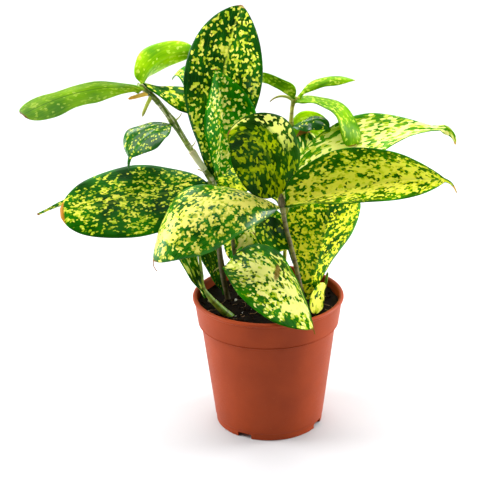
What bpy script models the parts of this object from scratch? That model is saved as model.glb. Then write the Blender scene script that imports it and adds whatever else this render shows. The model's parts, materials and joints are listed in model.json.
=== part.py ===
"""Gold dust dracaena (Dracaena surculosa) in its round plastic nursery pot.

Every piece is a closed solid of its own: the pot, the soil, each stem with its wisps and buds, and each leaf.
Sizes are written in millimetres and angles in degrees, and the objects are made in metres with +Z up.
The origin is under the middle of the whole plant, on the surface that the pot stands on, and -Y is its front.
Places are written from the pot's axis, and one empty carries every piece to its place beside the origin.
"""

import math
from dataclasses import dataclass, field

import bmesh
import bpy
from mathutils import Vector, noise

MM = 0.001
GAP = 0.3  # left between pieces that touch
POT_AXIS = (17.4, -26.9)  # puts the origin under the middle of the whole plant

# Pot: radii and heights of the moulded shell
POT_HEIGHT = 109.4
POT_RIM_RADIUS = 60.0
POT_LIP_DEPTH = 3.6
POT_COLLAR_TOP_RADIUS = 58.6
POT_COLLAR_FOOT_RADIUS = 56.2
POT_COLLAR_FOOT_HEIGHT = 87.5
POT_BODY_TOP_RADIUS = 53.4
POT_BODY_TOP_HEIGHT = 83.5
POT_STEP_INSIDE = (84.5, 89.5)  # the step in the wall, seen from inside
POT_BASE_RADIUS = 42.9
POT_WALL = 1.3
POT_FOOT_HEIGHT = 4.6
POT_FOOT_WALL = 2.2
POT_FLOOR = 1.5
POT_SIDES = 40
NOTCH_ANGLES = (-119.0, -27.0, 63.0, 153.0)
NOTCH_WIDTH = 12.0
NOTCH_HEIGHT = 4.2
DRAIN_HOLES = 6
DRAIN_CIRCLE_RADIUS = 27.0
DRAIN_RADIUS = 4.5

# Soil: filled to below the lip, its top heaped a little and lumpy
SOIL_LEVEL = 98.0
SOIL_HEAP = 1.5
SOIL_LUMP = 1.6
SOIL_LUMP_SIZE = 11.0
SOIL_SIDES = 40
SOIL_RINGS = 6

# Leaves: blades of even thickness on a short narrow stalk
BLADE_THICKNESS = 0.8
STALK_WIDTH = 2.8
LEAF_SEAT = 0.4  # from a stem's surface to the foot of a leaf
EDGE_WAVES = 2.0  # waves along each edge

# Stems
RING_REACH = 5.0  # how far a swollen ring fades away along its stem
STEM_STEP = 1.0  # least spacing of the rings of a stem's mesh
STEM_SIDES = 8
WISP_SIDES = 6

LEAF_GREEN = (0.030, 0.130, 0.022)
LEAF_PALE = (0.300, 0.420, 0.060)
LEAF_LIME = (0.170, 0.370, 0.020)
STEM_BROWN = (0.130, 0.120, 0.060)
STEM_GREEN = (0.120, 0.230, 0.040)
POT_TERRACOTTA = (0.420, 0.110, 0.050)
SOIL_BLACK = (0.012, 0.009, 0.007)


@dataclass
class Wisp:
    """A thin sheath tip, bud or curl that grows from a stem."""

    height: float
    azimuth: float
    rise: float
    droop: float
    length: float
    radius: float


@dataclass
class Stem:
    """A stem along a smooth path through its points, with swollen rings where leaves grow."""

    name: str
    path: list
    radius: float
    rings: list = field(default_factory=list)
    wisps: list = field(default_factory=list)
    foot_radius: float = 0.0
    foot_reach: float = 30.0
    colour: tuple = STEM_BROWN

    def radius_at(self, height):
        """Return the stem's radius at a height, with its rings and its thick foot."""
        radius = self.radius
        if self.foot_radius:
            rise = (height - SOIL_LEVEL) / self.foot_reach
            radius += (self.foot_radius - self.radius) * min(1.0, max(0.0, 1.0 - rise))
        for ring_height, ring_radius in self.rings:
            swell = math.exp(-(((height - ring_height) / RING_REACH) ** 2))
            radius = max(radius, self.radius + (ring_radius - self.radius) * swell)
        return radius

    def mesh_line(self):
        """Return the centre line's points that the stem's mesh has rings at."""
        line = smooth_line(self.path, 3)
        swollen = []
        for ring_height, _ in self.rings:
            for offset in (-0.9 * RING_REACH, 0.0, 0.9 * RING_REACH):
                if line[0].z < ring_height + offset < line[-1].z:
                    swollen.append(self.centre_at(ring_height + offset))
        kept = [line[0], line[-1]]
        for point in swollen + line[1:-1]:
            if min((point - other).length for other in kept) > STEM_STEP:
                kept.append(point)
        return sorted(kept, key=lambda point: point.z)

    def centre_at(self, height):
        """Return the point of the stem's centre line at a height."""
        line = smooth_line(self.path)
        for low, high in zip(line[:-1], line[1:]):
            if low.z <= height <= high.z:
                return low.lerp(high, (height - low.z) / (high.z - low.z))
        return line[-1].copy()


@dataclass
class Leaf:
    """A leaf by the way it grows: where it starts, how it climbs, bends, turns and folds."""

    name: str
    stem: str
    height: float  # height on its stem
    azimuth: float  # direction it starts in, from +X towards +Y
    rise: float  # angle above level at its start
    droop: float  # how far that angle falls by its tip
    sweep: float  # how far its direction turns sideways by its tip
    length: float
    width: float
    roll: float = 0.0  # turn of the blade about its midrib at its start
    twist: float = 0.0  # further turn by its tip
    late: float = 1.0  # over 1 bends near the tip, under 1 near the stalk
    peak: float = 0.5  # where the blade is widest
    full: float = 1.6  # under 1.6 is rounder, over it more pointed
    fold: float = 8.0  # angle of each half at the midrib
    cup: float = 0.0  # further angle by the edge
    wave: float = 1.2  # height of the edge's waves
    phase: float = 0.0
    tip_width: float = 1.2
    tail: float = 0.0  # length of the thin dripping tip
    hook: float = 60.0  # how far the tail turns down
    tail_turn: float = 0.0  # how far the tail's first third turns about itself
    rows: int = 12
    columns: int = 6
    colour: tuple = LEAF_GREEN


STEMS = [
    Stem(
        name="stem_centre",
        path=[
            (31, 2, 80),
            (29.5, 1.5, 95),
            (24.5, 0, 120),
            (21, -2, 138),
            (17, -4, 155),
            (14, -6, 168),
            (11, -8, 187),
            (10, -8.5, 196),
        ],
        radius=1.8,
        rings=[(187, 3)],
    ),
    Stem(
        name="stem_left",
        path=[
            (-30.5, 14.5, 80),
            (-31.5, 13.5, 95),
            (-35.5, 12, 119),
            (-38.5, 10, 147),
            (-40.5, 9, 175),
            (-42.5, 8, 199),
            (-46, 8, 207),
            (-58.5, 7, 228),
            (-70.5, 7, 249),
            (-83, 7, 267),
            (-93.5, 6, 278),
            (-94.5, 6, 280),
        ],
        radius=2.2,
        rings=[(128, 2.6), (199, 3.2), (250, 3), (279, 2.4)],
        wisps=[
            Wisp(height=128, azimuth=180, rise=-20, droop=30, length=9, radius=0.6),
            Wisp(height=207, azimuth=170, rise=40, droop=30, length=9, radius=0.9),
            Wisp(height=229, azimuth=10, rise=20, droop=-60, length=8, radius=0.6),
            Wisp(height=250, azimuth=20, rise=15, droop=-50, length=10, radius=0.7),
            Wisp(height=252, azimuth=175, rise=70, droop=60, length=8, radius=0.6),
            Wisp(height=273, azimuth=200, rise=-10, droop=0, length=17, radius=1.9),
            Wisp(height=271, azimuth=225, rise=-50, droop=10, length=18, radius=1.7),
        ],
    ),
    Stem(
        name="stem_back",
        path=[
            (11.5, 36, 80),
            (13, 37, 95),
            (16, 39, 150),
            (18, 41, 190),
            (20.5, 44, 239),
            (22, 45, 252),
            (24, 45, 258),
        ],
        radius=1.6,
        rings=[(160, 2), (197, 2.8), (222, 2.1), (235, 2.1), (257, 2.2)],
        wisps=[
            Wisp(height=254, azimuth=175, rise=45, droop=100, length=22, radius=1.3),
            Wisp(height=250, azimuth=-20, rise=65, droop=0, length=8, radius=0.9),
        ],
    ),
    Stem(
        name="stem_inner",
        path=[(-21, 19, 80), (-22.5, 19.5, 95), (-26.5, 22, 139), (-28, 23, 155), (-29, 24, 174)],
        radius=1.5,
        rings=[(140, 1.9), (172, 2.8)],
    ),
    Stem(
        name="shoot_left",
        path=[
            (-25.5, -15, 83),
            (-29, -17, 95),
            (-36.5, -19, 104),
            (-45, -20, 114),
            (-50.5, -21, 124),
            (-51.5, -21, 136),
            (-53, -20, 150),
            (-54, -19, 162),
        ],
        radius=1.1,
        foot_radius=3.4,
        colour=STEM_GREEN,
    ),
    Stem(
        name="shoot_right",
        path=[(44, 15.5, 83), (44.5, 16.5, 95), (46.5, 18, 106), (48.5, 18, 119)],
        radius=1.1,
        colour=STEM_GREEN,
    ),
]

LEAVES = [
    # Leaves of the tall left stem, from its foot to its lime tip
    Leaf(
        name="leaf_tall_back",
        stem="stem_left",
        height=199,
        azimuth=50, rise=85, droop=25, sweep=-10,
        length=138, width=61,
        roll=55, twist=-25, late=2, peak=0.6, full=1.9, fold=10, cup=5,
        wave=1.6, phase=0.1, tip_width=1.6,
    ),
    Leaf(
        name="leaf_tall_front",
        stem="stem_left",
        height=202,
        azimuth=5, rise=70, droop=-35, sweep=10,
        length=88, width=50,
        roll=120, twist=-20, late=0.8, full=2.2, fold=25,
        phase=0.4, rows=10,
    ),
    Leaf(
        name="leaf_left_broad",
        stem="stem_left",
        height=198.5,
        azimuth=-155, rise=0, droop=15, sweep=-35,
        length=118, width=61,
        roll=-35, twist=-15, late=1.9, full=1, fold=0, cup=-15,
        wave=1.4, phase=0.6, tip_width=8,
    ),
    Leaf(
        name="leaf_left_hidden",
        stem="stem_left",
        height=195,
        azimuth=165, rise=10, droop=35, sweep=20,
        length=141, width=25,
        roll=-5, twist=45, late=0.8, peak=0.4, full=1.9, fold=5, cup=5,
        wave=0.8, phase=0.3, tip_width=4, rows=10, columns=4,
    ),
    Leaf(
        name="leaf_behind_tall",
        stem="stem_left",
        height=203,
        azimuth=95, rise=80, droop=135, sweep=50,
        length=120, width=28,
        roll=20, twist=-50, late=2.3, peak=0.55, fold=10,
        wave=1, phase=0.1, rows=10, columns=4,
    ),
    Leaf(
        name="leaf_left_hanging",
        stem="stem_left",
        height=249.5,
        azimuth=-140, rise=15, droop=70, sweep=15,
        length=49, width=33,
        roll=-5, twist=-10, full=1.7, fold=10, cup=-35,
        wave=1, phase=0.2, tip_width=3, tail=9, hook=50, rows=8, columns=4,
    ),
    Leaf(
        name="leaf_low_over_rim",
        stem="stem_left",
        height=128,
        azimuth=-45, rise=15, droop=55, sweep=-15,
        length=112, width=56,
        roll=35, twist=45, late=1.3, peak=0.55, fold=15, cup=35,
        wave=1.4, phase=0.7, tip_width=1.6, colour=LEAF_PALE,
    ),
    Leaf(
        name="leaf_sucker_left",
        stem="stem_left",
        height=104,
        azimuth=135, rise=70, droop=10, sweep=25,
        length=62, width=26,
        roll=-10, twist=30, late=0.7, peak=0.6, fold=5, cup=-15,
        wave=0.8, phase=0.5, rows=8, columns=4,
    ),
    Leaf(
        name="leaf_lime_left",
        stem="stem_left",
        height=278,
        azimuth=-140, rise=35, droop=65, sweep=-45,
        length=94, width=32,
        roll=45, twist=5, late=0.5, peak=0.65, full=1, fold=0, cup=-30,
        phase=0.3, tip_width=7, rows=10, colour=LEAF_LIME,
    ),
    Leaf(
        name="leaf_lime_upright",
        stem="stem_left",
        height=279,
        azimuth=70, rise=35, droop=35, sweep=-70,
        length=55, width=30,
        roll=-90, twist=-5, late=1.2, peak=0.45, full=0.8, fold=20, cup=45,
        wave=1, phase=0.6, tip_width=1.4, rows=10, columns=4, colour=LEAF_LIME,
    ),
    Leaf(
        name="leaf_spotted_top",
        stem="stem_left",
        height=278,
        azimuth=20, rise=-25, droop=-15, sweep=-25,
        length=74, width=25,
        twist=80, late=2, peak=0.45, full=0.8, fold=5, cup=-35,
        wave=0.8, phase=0.2, tip_width=1.4, rows=8, columns=4,
    ),
    # Leaves of the middle stem
    Leaf(
        name="leaf_centre_arching",
        stem="stem_centre",
        height=195.5,
        azimuth=-135, rise=80, droop=80, sweep=0,
        length=88, width=56,
        roll=85, twist=-30, late=1.7, peak=0.4, full=1.1, fold=5, cup=-5,
        wave=1.6, phase=0.2, tip_width=2,
    ),
    Leaf(
        name="leaf_front_drooping",
        stem="stem_centre",
        height=186,
        azimuth=-135, rise=30, droop=110, sweep=-65,
        length=132, width=64,
        roll=-35, late=1.5, peak=0.6, full=1.5, fold=-5, cup=-40,
        wave=1.6, phase=0.3, tip_width=1.4, tail=9, colour=LEAF_PALE,
    ),
    Leaf(
        name="leaf_right_broad",
        stem="stem_centre",
        height=185,
        azimuth=-5, rise=20, droop=10, sweep=-50,
        length=135, width=67,
        roll=34, twist=46, late=1.5, peak=0.45, full=1, fold=35, cup=30,
        wave=1.8, phase=0.2, tip_width=4, tail=14, hook=80, colour=LEAF_PALE,
    ),
    Leaf(
        name="leaf_right_upper",
        stem="stem_centre",
        height=193,
        azimuth=50, rise=35, droop=33, sweep=-60,
        length=142, width=45,
        roll=55, twist=-45, late=0.8, peak=0.55, full=2.3, fold=5, cup=20,
        wave=1.6, phase=0.8, tip_width=9, tail=19, hook=95, tail_turn=80, rows=14, colour=LEAF_PALE,
    ),
    Leaf(
        name="leaf_centre_narrow",
        stem="stem_centre",
        height=189,
        azimuth=50, rise=28, droop=-30, sweep=75,
        length=70, width=35,
        roll=-15, twist=-10, late=2, peak=0.6, full=2, fold=-5, cup=-45,
        wave=1.4, phase=0.1, tip_width=4, rows=10,
    ),
    Leaf(
        name="leaf_right_standing",
        stem="stem_centre",
        height=103,
        azimuth=15, rise=76, droop=-5, sweep=-75,
        length=98, width=63,
        roll=-85, twist=45, late=1.5, peak=0.65, full=1.6, fold=20, cup=5,
        wave=1.6, phase=0.5, tip_width=1.6,
    ),
    Leaf(
        name="leaf_inner_short",
        stem="stem_centre",
        height=150,
        azimuth=-175, rise=40, droop=-20, sweep=60,
        length=48, width=26,
        roll=-55, twist=-75, late=0.8, peak=0.35, full=2.2, fold=-5,
        wave=0.8, phase=0.4, rows=8, columns=4,
    ),
    Leaf(
        name="leaf_rear_left",
        stem="stem_centre",
        height=188,
        azimuth=125, rise=45, droop=115, sweep=0,
        length=90, width=40,
        roll=-5, twist=-5, late=2, full=2, fold=5, cup=-10,
        phase=0.2, rows=8, columns=4,
    ),
    # Leaves of the back stem
    Leaf(
        name="leaf_small_nodding",
        stem="stem_back",
        height=234,
        azimuth=-30, rise=30, droop=100, sweep=0,
        length=34, width=17,
        roll=35, late=2.5, full=1.2, fold=-20, cup=-20,
        wave=0.8, phase=0.3, rows=8, columns=4,
    ),
    Leaf(
        name="leaf_lime_back_round",
        stem="stem_back",
        height=222,
        azimuth=30, rise=45, droop=50, sweep=-10,
        length=34, width=30,
        roll=40, twist=5, late=0.8, full=1.7, fold=5,
        wave=0.6, phase=0.2, rows=8, columns=4, colour=LEAF_LIME,
    ),
    Leaf(
        name="leaf_lime_back_left",
        stem="stem_back",
        height=256.5,
        azimuth=-125, rise=35, droop=10, sweep=-75,
        length=54, width=20,
        roll=5, twist=60, late=1.1, peak=0.35, full=2.2, fold=35, cup=-10,
        wave=0.8, phase=0.7, rows=8, columns=4, colour=LEAF_LIME,
    ),
    Leaf(
        name="leaf_lime_back_arching",
        stem="stem_back",
        height=255,
        azimuth=-5, rise=10, droop=95, sweep=-75,
        length=67, width=27,
        roll=10, twist=-40, late=1.3, peak=0.6, full=0.8, fold=5, cup=-10,
        wave=1, phase=0.1, tip_width=5, rows=10, columns=4, colour=LEAF_LIME,
    ),
    Leaf(
        name="leaf_lime_back_small",
        stem="stem_back",
        height=257.5,
        azimuth=20, rise=55, droop=75, sweep=-15,
        length=50, width=14,
        roll=40, twist=-30, late=0.8, peak=0.6, full=2, fold=-5, cup=-45,
        wave=0.6, phase=0.5, rows=8, columns=4, colour=LEAF_LIME,
    ),
    Leaf(
        name="leaf_rear_centre",
        stem="stem_back",
        height=197,
        azimuth=20, rise=40, droop=115, sweep=75,
        length=89, width=46,
        twist=-30, late=1.8, full=1.9, fold=15, cup=-10,
        phase=0.5, rows=8, columns=4,
    ),
    Leaf(
        name="leaf_rear_upper",
        stem="stem_back",
        height=199,
        azimuth=105, rise=40, droop=95, sweep=-5,
        length=97, width=46,
        roll=5, twist=30, full=1.3, fold=10, cup=-45,
        phase=0.8, rows=8, columns=4,
    ),
    Leaf(
        name="leaf_rear_right",
        stem="stem_back",
        height=158,
        azimuth=150, rise=-30, droop=25, sweep=15,
        length=66, width=44,
        roll=-80, late=1.2, full=1.4, fold=5,
        phase=0.7, rows=8, columns=4,
    ),
    # Leaves of the inner stem
    Leaf(
        name="leaf_inner_pale",
        stem="stem_inner",
        height=140,
        azimuth=-35, rise=45, droop=-10, sweep=-60,
        length=51, width=34,
        roll=-55, twist=-40, late=1.2, peak=0.55, full=2.2, fold=5, cup=-30,
        wave=0.8, phase=0.6, rows=8, columns=4, colour=LEAF_PALE,
    ),
    Leaf(
        name="leaf_inner_dark",
        stem="stem_inner",
        height=102,
        azimuth=15, rise=55, droop=-35, sweep=30,
        length=76, width=40,
        roll=-15, twist=5, late=0.8, peak=0.45, full=2.1, fold=-5, cup=-30,
        wave=0.8, phase=0.9, rows=8, columns=4,
    ),
    Leaf(
        name="leaf_rear_low_left",
        stem="stem_inner",
        height=170,
        azimuth=155, rise=15, droop=60, sweep=-45,
        length=91, width=45,
        twist=40, late=1.1, full=1.4, fold=15, cup=25,
        phase=0.1, rows=8, columns=4,
    ),
    Leaf(
        name="leaf_rear_low",
        stem="stem_inner",
        height=173,
        azimuth=80, rise=40, droop=80, sweep=-10,
        length=80, width=54,
        late=1.5, peak=0.6, full=1.9, fold=10,
        phase=0.4, rows=8, columns=4,
    ),
    # Leaf of the young left shoot
    Leaf(
        name="leaf_young_left",
        stem="shoot_left",
        height=118,
        azimuth=-175, rise=65, droop=-5, sweep=-30,
        length=55, width=24,
        roll=10, twist=-40, late=0.5, full=2.2, fold=20, cup=-20,
        wave=1, rows=8, columns=4,
    ),
    # Leaf of the right sprout
    Leaf(
        name="leaf_sprout_pale",
        stem="shoot_right",
        height=107,
        azimuth=-105, rise=20, droop=50, sweep=0,
        length=44, width=14,
        roll=-90, twist=75, late=0.8, peak=0.55, full=1.2, fold=5, cup=-25,
        wave=0.6, phase=0.4, rows=8, columns=4, colour=LEAF_PALE,
    ),
]


def smooth_line(points, steps=10):
    """Return points along a smooth curve that passes through all the given points."""
    knots = [Vector(point) for point in points]
    knots.insert(0, 2 * knots[0] - knots[1])
    knots.append(2 * knots[-1] - knots[-2])
    line = []
    for before, start, end, after in zip(knots, knots[1:], knots[2:], knots[3:]):
        for step in range(steps):
            t = step / steps
            line.append(
                (
                    2 * start
                    + (end - before) * t
                    + (2 * before - 5 * start + 4 * end - after) * t**2
                    + (3 * start - before - 3 * end + after) * t**3
                )
                / 2
            )
    line.append(knots[-2].copy())
    return line


def give_material(obj, colour, roughness, name=None):
    """Give an object a plain material of its own."""
    material = bpy.data.materials.new(name or obj.name)
    material.use_nodes = True
    shader = material.node_tree.nodes["Principled BSDF"]
    shader.inputs["Base Color"].default_value = (*colour, 1.0)
    shader.inputs["Roughness"].default_value = roughness
    shader.inputs["Metallic"].default_value = 0.0
    obj.data.materials.clear()
    obj.data.materials.append(material)


def add_object(name, mesh):
    """Link a new object that holds a mesh."""
    obj = bpy.data.objects.new(name, mesh)
    bpy.context.scene.collection.objects.link(obj)
    return obj


def mesh_object(name, bm, smooth_angle=math.radians(40)):
    """Turn a bmesh in millimetres into an object in metres, shaded smooth."""
    bmesh.ops.remove_doubles(bm, verts=bm.verts, dist=0.001)
    bmesh.ops.recalc_face_normals(bm, faces=bm.faces)
    bmesh.ops.scale(bm, vec=(MM, MM, MM), verts=bm.verts)
    mesh = bpy.data.meshes.new(name)
    bm.to_mesh(mesh)
    bm.free()
    mesh.shade_smooth()
    mesh.set_sharp_from_angle(angle=smooth_angle)
    return add_object(name, mesh)


def tube_object(name, line, radii, sides):
    """Make a closed round tube along a line, with its own radius at each point."""
    curve = bpy.data.curves.new(name, "CURVE")
    curve.dimensions = "3D"
    curve.bevel_depth = MM
    curve.bevel_resolution = (sides - 4) // 2
    curve.use_fill_caps = True
    spline = curve.splines.new("POLY")
    spline.points.add(len(line) - 1)
    for knot, place, radius in zip(spline.points, line, radii):
        knot.co = (*(place * MM), 1.0)
        knot.radius = radius
    holder = add_object(name + "_curve", curve)
    bpy.context.view_layer.update()
    evaluated = holder.evaluated_get(bpy.context.evaluated_depsgraph_get())
    mesh = bpy.data.meshes.new_from_object(evaluated)
    bpy.data.objects.remove(holder)
    bpy.data.curves.remove(curve)
    mesh.name = name
    bm = bmesh.new()
    bm.from_mesh(mesh)
    bmesh.ops.remove_doubles(bm, verts=bm.verts, dist=0.001 * MM)
    bmesh.ops.recalc_face_normals(bm, faces=bm.faces)
    bm.to_mesh(mesh)
    bm.free()
    mesh.shade_smooth()
    mesh.set_sharp_from_angle(angle=math.radians(50))
    return add_object(name, mesh)


def combine(obj, tools, operation, solver="EXACT"):
    """Join tools to an object or cut them from it in one Boolean, and remove the tools."""
    group = bpy.data.collections.new(obj.name + "_tools")
    bpy.context.scene.collection.children.link(group)
    for tool in tools:
        bpy.context.scene.collection.objects.unlink(tool)
        group.objects.link(tool)
    boolean = obj.modifiers.new("combine", "BOOLEAN")
    boolean.operation = operation
    boolean.operand_type = "COLLECTION"
    boolean.collection = group
    boolean.solver = solver
    bpy.context.view_layer.update()
    evaluated = obj.evaluated_get(bpy.context.evaluated_depsgraph_get())
    mesh = bpy.data.meshes.new_from_object(evaluated)
    obj.modifiers.clear()
    obj.data = mesh
    for tool in list(group.objects):
        bpy.data.objects.remove(tool)
    bpy.data.collections.remove(group)


def spin_profile(profile, sides):
    """Turn a profile of radii and heights, poles at both ends, into a closed bmesh."""
    bm = bmesh.new()
    ring = [bm.verts.new((radius, 0.0, height)) for radius, height in profile]
    edges = [bm.edges.new(pair) for pair in zip(ring, ring[1:])]
    bmesh.ops.spin(
        bm,
        geom=ring + edges,
        cent=(0, 0, 0),
        axis=(0, 0, 1),
        angle=math.tau,
        steps=sides,
        use_merge=True,
    )
    bmesh.ops.remove_doubles(bm, verts=bm.verts, dist=0.001)
    return bm


def between(value, low, high, at_low, at_high):
    """Return the value carried straight from one range to another, held at its ends."""
    share = min(1.0, max(0.0, (value - low) / (high - low)))
    return at_low + (at_high - at_low) * share


def pot_wall_inside(height):
    """Return the radius of the pot's inner wall at a height."""
    step_foot, step_top = POT_STEP_INSIDE
    body_top = POT_BODY_TOP_RADIUS - POT_WALL
    if height <= step_foot:
        return between(height, POT_FOOT_HEIGHT, step_foot, POT_BASE_RADIUS + 0.6 - POT_WALL, body_top)
    if height <= step_top:
        return between(height, step_foot, step_top, body_top, POT_COLLAR_FOOT_RADIUS - POT_WALL)
    collar_top = POT_COLLAR_TOP_RADIUS - POT_WALL
    return between(
        height, step_top, POT_HEIGHT - POT_LIP_DEPTH, POT_COLLAR_FOOT_RADIUS - POT_WALL, collar_top
    )


def build_pot():
    """Make the pot: rolled lip, flared collar, step, tapered body, raised floor and foot ring."""
    lip_radius = POT_LIP_DEPTH / 2
    lip_centre = (POT_RIM_RADIUS - lip_radius, POT_HEIGHT - lip_radius)
    floor_top = POT_FOOT_HEIGHT + POT_FLOOR
    collar_top = POT_HEIGHT - POT_LIP_DEPTH
    profile = [(0.0, floor_top)]
    profile.append((pot_wall_inside(floor_top) - 1.2, floor_top))
    profile.append((pot_wall_inside(floor_top + 1.5), floor_top + 1.5))
    for height in (*POT_STEP_INSIDE, collar_top):
        profile.append((pot_wall_inside(height), height))
    for step in range(6):
        angle = math.radians(170 - 46 * step)
        across, up = lip_radius * math.cos(angle), lip_radius * math.sin(angle)
        profile.append((lip_centre[0] + across, lip_centre[1] + up))
    profile.append((POT_COLLAR_TOP_RADIUS, collar_top - 0.6))
    profile.append((POT_COLLAR_FOOT_RADIUS, POT_COLLAR_FOOT_HEIGHT))
    profile.append((POT_COLLAR_FOOT_RADIUS - 0.8, POT_COLLAR_FOOT_HEIGHT - 1.3))
    profile.append((POT_BODY_TOP_RADIUS + 0.4, POT_COLLAR_FOOT_HEIGHT - 2.3))
    profile.append((POT_BODY_TOP_RADIUS, POT_BODY_TOP_HEIGHT))
    profile.append((POT_BASE_RADIUS + 0.8, POT_FOOT_HEIGHT + 1.6))
    profile.append((POT_BASE_RADIUS + 0.3, POT_FOOT_HEIGHT + 0.8))
    profile.append((POT_BASE_RADIUS, 0.0))
    profile.append((POT_BASE_RADIUS - POT_FOOT_WALL, 0.0))
    profile.append((POT_BASE_RADIUS - POT_FOOT_WALL, POT_FOOT_HEIGHT))
    profile.append((0.0, POT_FOOT_HEIGHT))
    pot = mesh_object("pot", spin_profile(profile, POT_SIDES))
    combine(pot, pot_cutters(), "DIFFERENCE")
    pot.data.shade_smooth()
    pot.data.set_sharp_from_angle(angle=math.radians(40))
    give_material(pot, POT_TERRACOTTA, 0.45)


def pot_cutters():
    """Make the blocks and rods that cut the foot's notches and the floor's drain holes."""
    cutters = []
    for angle in NOTCH_ANGLES:
        bm = bmesh.new()
        bmesh.ops.create_cube(bm, size=1.0)
        bmesh.ops.scale(bm, vec=(3 * POT_FOOT_WALL, NOTCH_WIDTH, 2 * NOTCH_HEIGHT), verts=bm.verts)
        bmesh.ops.translate(bm, vec=(POT_BASE_RADIUS, 0, 0), verts=bm.verts)
        turn_about_z(bm, angle)
        cutters.append(mesh_object("notch_cutter", bm))
    for hole in range(DRAIN_HOLES):
        bm = bmesh.new()
        bmesh.ops.create_cone(
            bm,
            cap_ends=True,
            segments=14,
            radius1=DRAIN_RADIUS,
            radius2=DRAIN_RADIUS,
            depth=4 * POT_FLOOR,
        )
        bmesh.ops.translate(bm, vec=(DRAIN_CIRCLE_RADIUS, 0, POT_FOOT_HEIGHT), verts=bm.verts)
        turn_about_z(bm, (hole + 0.5) * 360 / DRAIN_HOLES)
        cutters.append(mesh_object("drain_cutter", bm))
    for cutter in cutters:
        cutter.hide_render = True
        cutter.display_type = "WIRE"
    return cutters


def turn_about_z(bm, angle):
    """Turn a bmesh about the pot's axis."""
    cosine, sine = math.cos(math.radians(angle)), math.sin(math.radians(angle))
    for vert in bm.verts:
        x, y = vert.co.x, vert.co.y
        vert.co.x = x * cosine - y * sine
        vert.co.y = x * sine + y * cosine


def build_soil(stems):
    """Make the soil: it follows the pot's wall, its top is lumpy, and each stem has a hole."""
    floor = POT_FOOT_HEIGHT + POT_FLOOR + GAP
    edge = pot_wall_inside(SOIL_LEVEL) - GAP
    profile = [(0.0, floor), (pot_wall_inside(floor) - 1.2 - GAP, floor)]
    profile.append((pot_wall_inside(floor + 2.5) - GAP, floor + 2.5))
    profile.append((pot_wall_inside(POT_STEP_INSIDE[0]) - GAP, POT_STEP_INSIDE[0]))
    profile.append((pot_wall_inside(POT_STEP_INSIDE[1]) - GAP, POT_STEP_INSIDE[1]))
    for ring in range(SOIL_RINGS + 1):
        share = 1.0 - ring / SOIL_RINGS
        profile.append((edge * share, SOIL_LEVEL + SOIL_HEAP * (1.0 - share**2)))
    bm = spin_profile(profile, SOIL_SIDES)
    for vert in bm.verts:
        if vert.co.z > SOIL_LEVEL - 0.1:
            place = Vector((vert.co.x, vert.co.y, 0.0)) / SOIL_LUMP_SIZE
            vert.co.z += SOIL_LUMP * noise.noise(place)
    soil = mesh_object("soil", bm)
    pits = []
    for stem in stems:
        line = [point for point in stem.mesh_line() if point.z < SOIL_LEVEL + 7]
        line[0] -= (line[1] - line[0]).normalized() * GAP
        line.append(stem.centre_at(SOIL_LEVEL + 8))
        radii = [stem.radius_at(point.z) + GAP for point in line]
        pits.append(tube_object("pit_cutter", line, radii, STEM_SIDES))
    for pit in pits:
        pit.hide_render = True
        pit.display_type = "WIRE"
    combine(soil, pits, "DIFFERENCE")
    soil.data.shade_smooth()
    soil.data.set_sharp_from_angle(angle=math.radians(50))
    give_material(soil, SOIL_BLACK, 0.95)


def build_stem(stem):
    """Make a stem with its swollen rings, and fuse its wisps and buds to it."""
    line = stem.mesh_line()
    radii = [stem.radius_at(point.z) for point in line]
    radii[-1] *= 0.6
    obj = tube_object(stem.name, line, radii, STEM_SIDES)
    wisps = []
    for wisp in stem.wisps:
        wisps.append(build_wisp(stem, wisp))
    if wisps:
        combine(obj, wisps, "UNION", "MANIFOLD")
        obj.data.shade_smooth()
        obj.data.set_sharp_from_angle(angle=math.radians(50))
    give_material(obj, stem.colour, 0.6)


def build_wisp(stem, wisp):
    """Make one tapering wisp that starts at its stem's centre line."""
    steps = 5
    line = [stem.centre_at(wisp.height)]
    turn = math.radians(wisp.azimuth)
    for step in range(steps):
        climb = math.radians(wisp.rise - wisp.droop * (step + 0.5) / steps)
        ahead = Vector((math.cos(climb) * math.cos(turn), math.cos(climb) * math.sin(turn), math.sin(climb)))
        line.append(line[-1] + ahead * wisp.length / steps)
    radii = [wisp.radius * (1.0 - 0.75 * step / steps) for step in range(steps + 1)]
    return tube_object("wisp", line, radii, WISP_SIDES)


def leaf_start(leaf, stems):
    """Return the point beside its stem where a leaf starts."""
    stem = stems[leaf.stem]
    roll, turn = math.radians(leaf.roll), math.radians(leaf.azimuth)
    depth = (STALK_WIDTH * abs(math.sin(roll)) + BLADE_THICKNESS * abs(math.cos(roll))) / 2
    reach = stem.radius_at(leaf.height) + LEAF_SEAT + depth * abs(math.sin(math.radians(leaf.rise)))
    foot = min(leaf.height, stem.path[-1][2] - 1.0)
    along_stem = (stem.centre_at(foot + 1.0) - stem.centre_at(foot)).normalized()
    outward = Vector((math.cos(turn), math.sin(turn), 0.0))
    outward = (outward - along_stem * outward.dot(along_stem)).normalized()
    return stem.centre_at(leaf.height) + reach * outward


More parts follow.
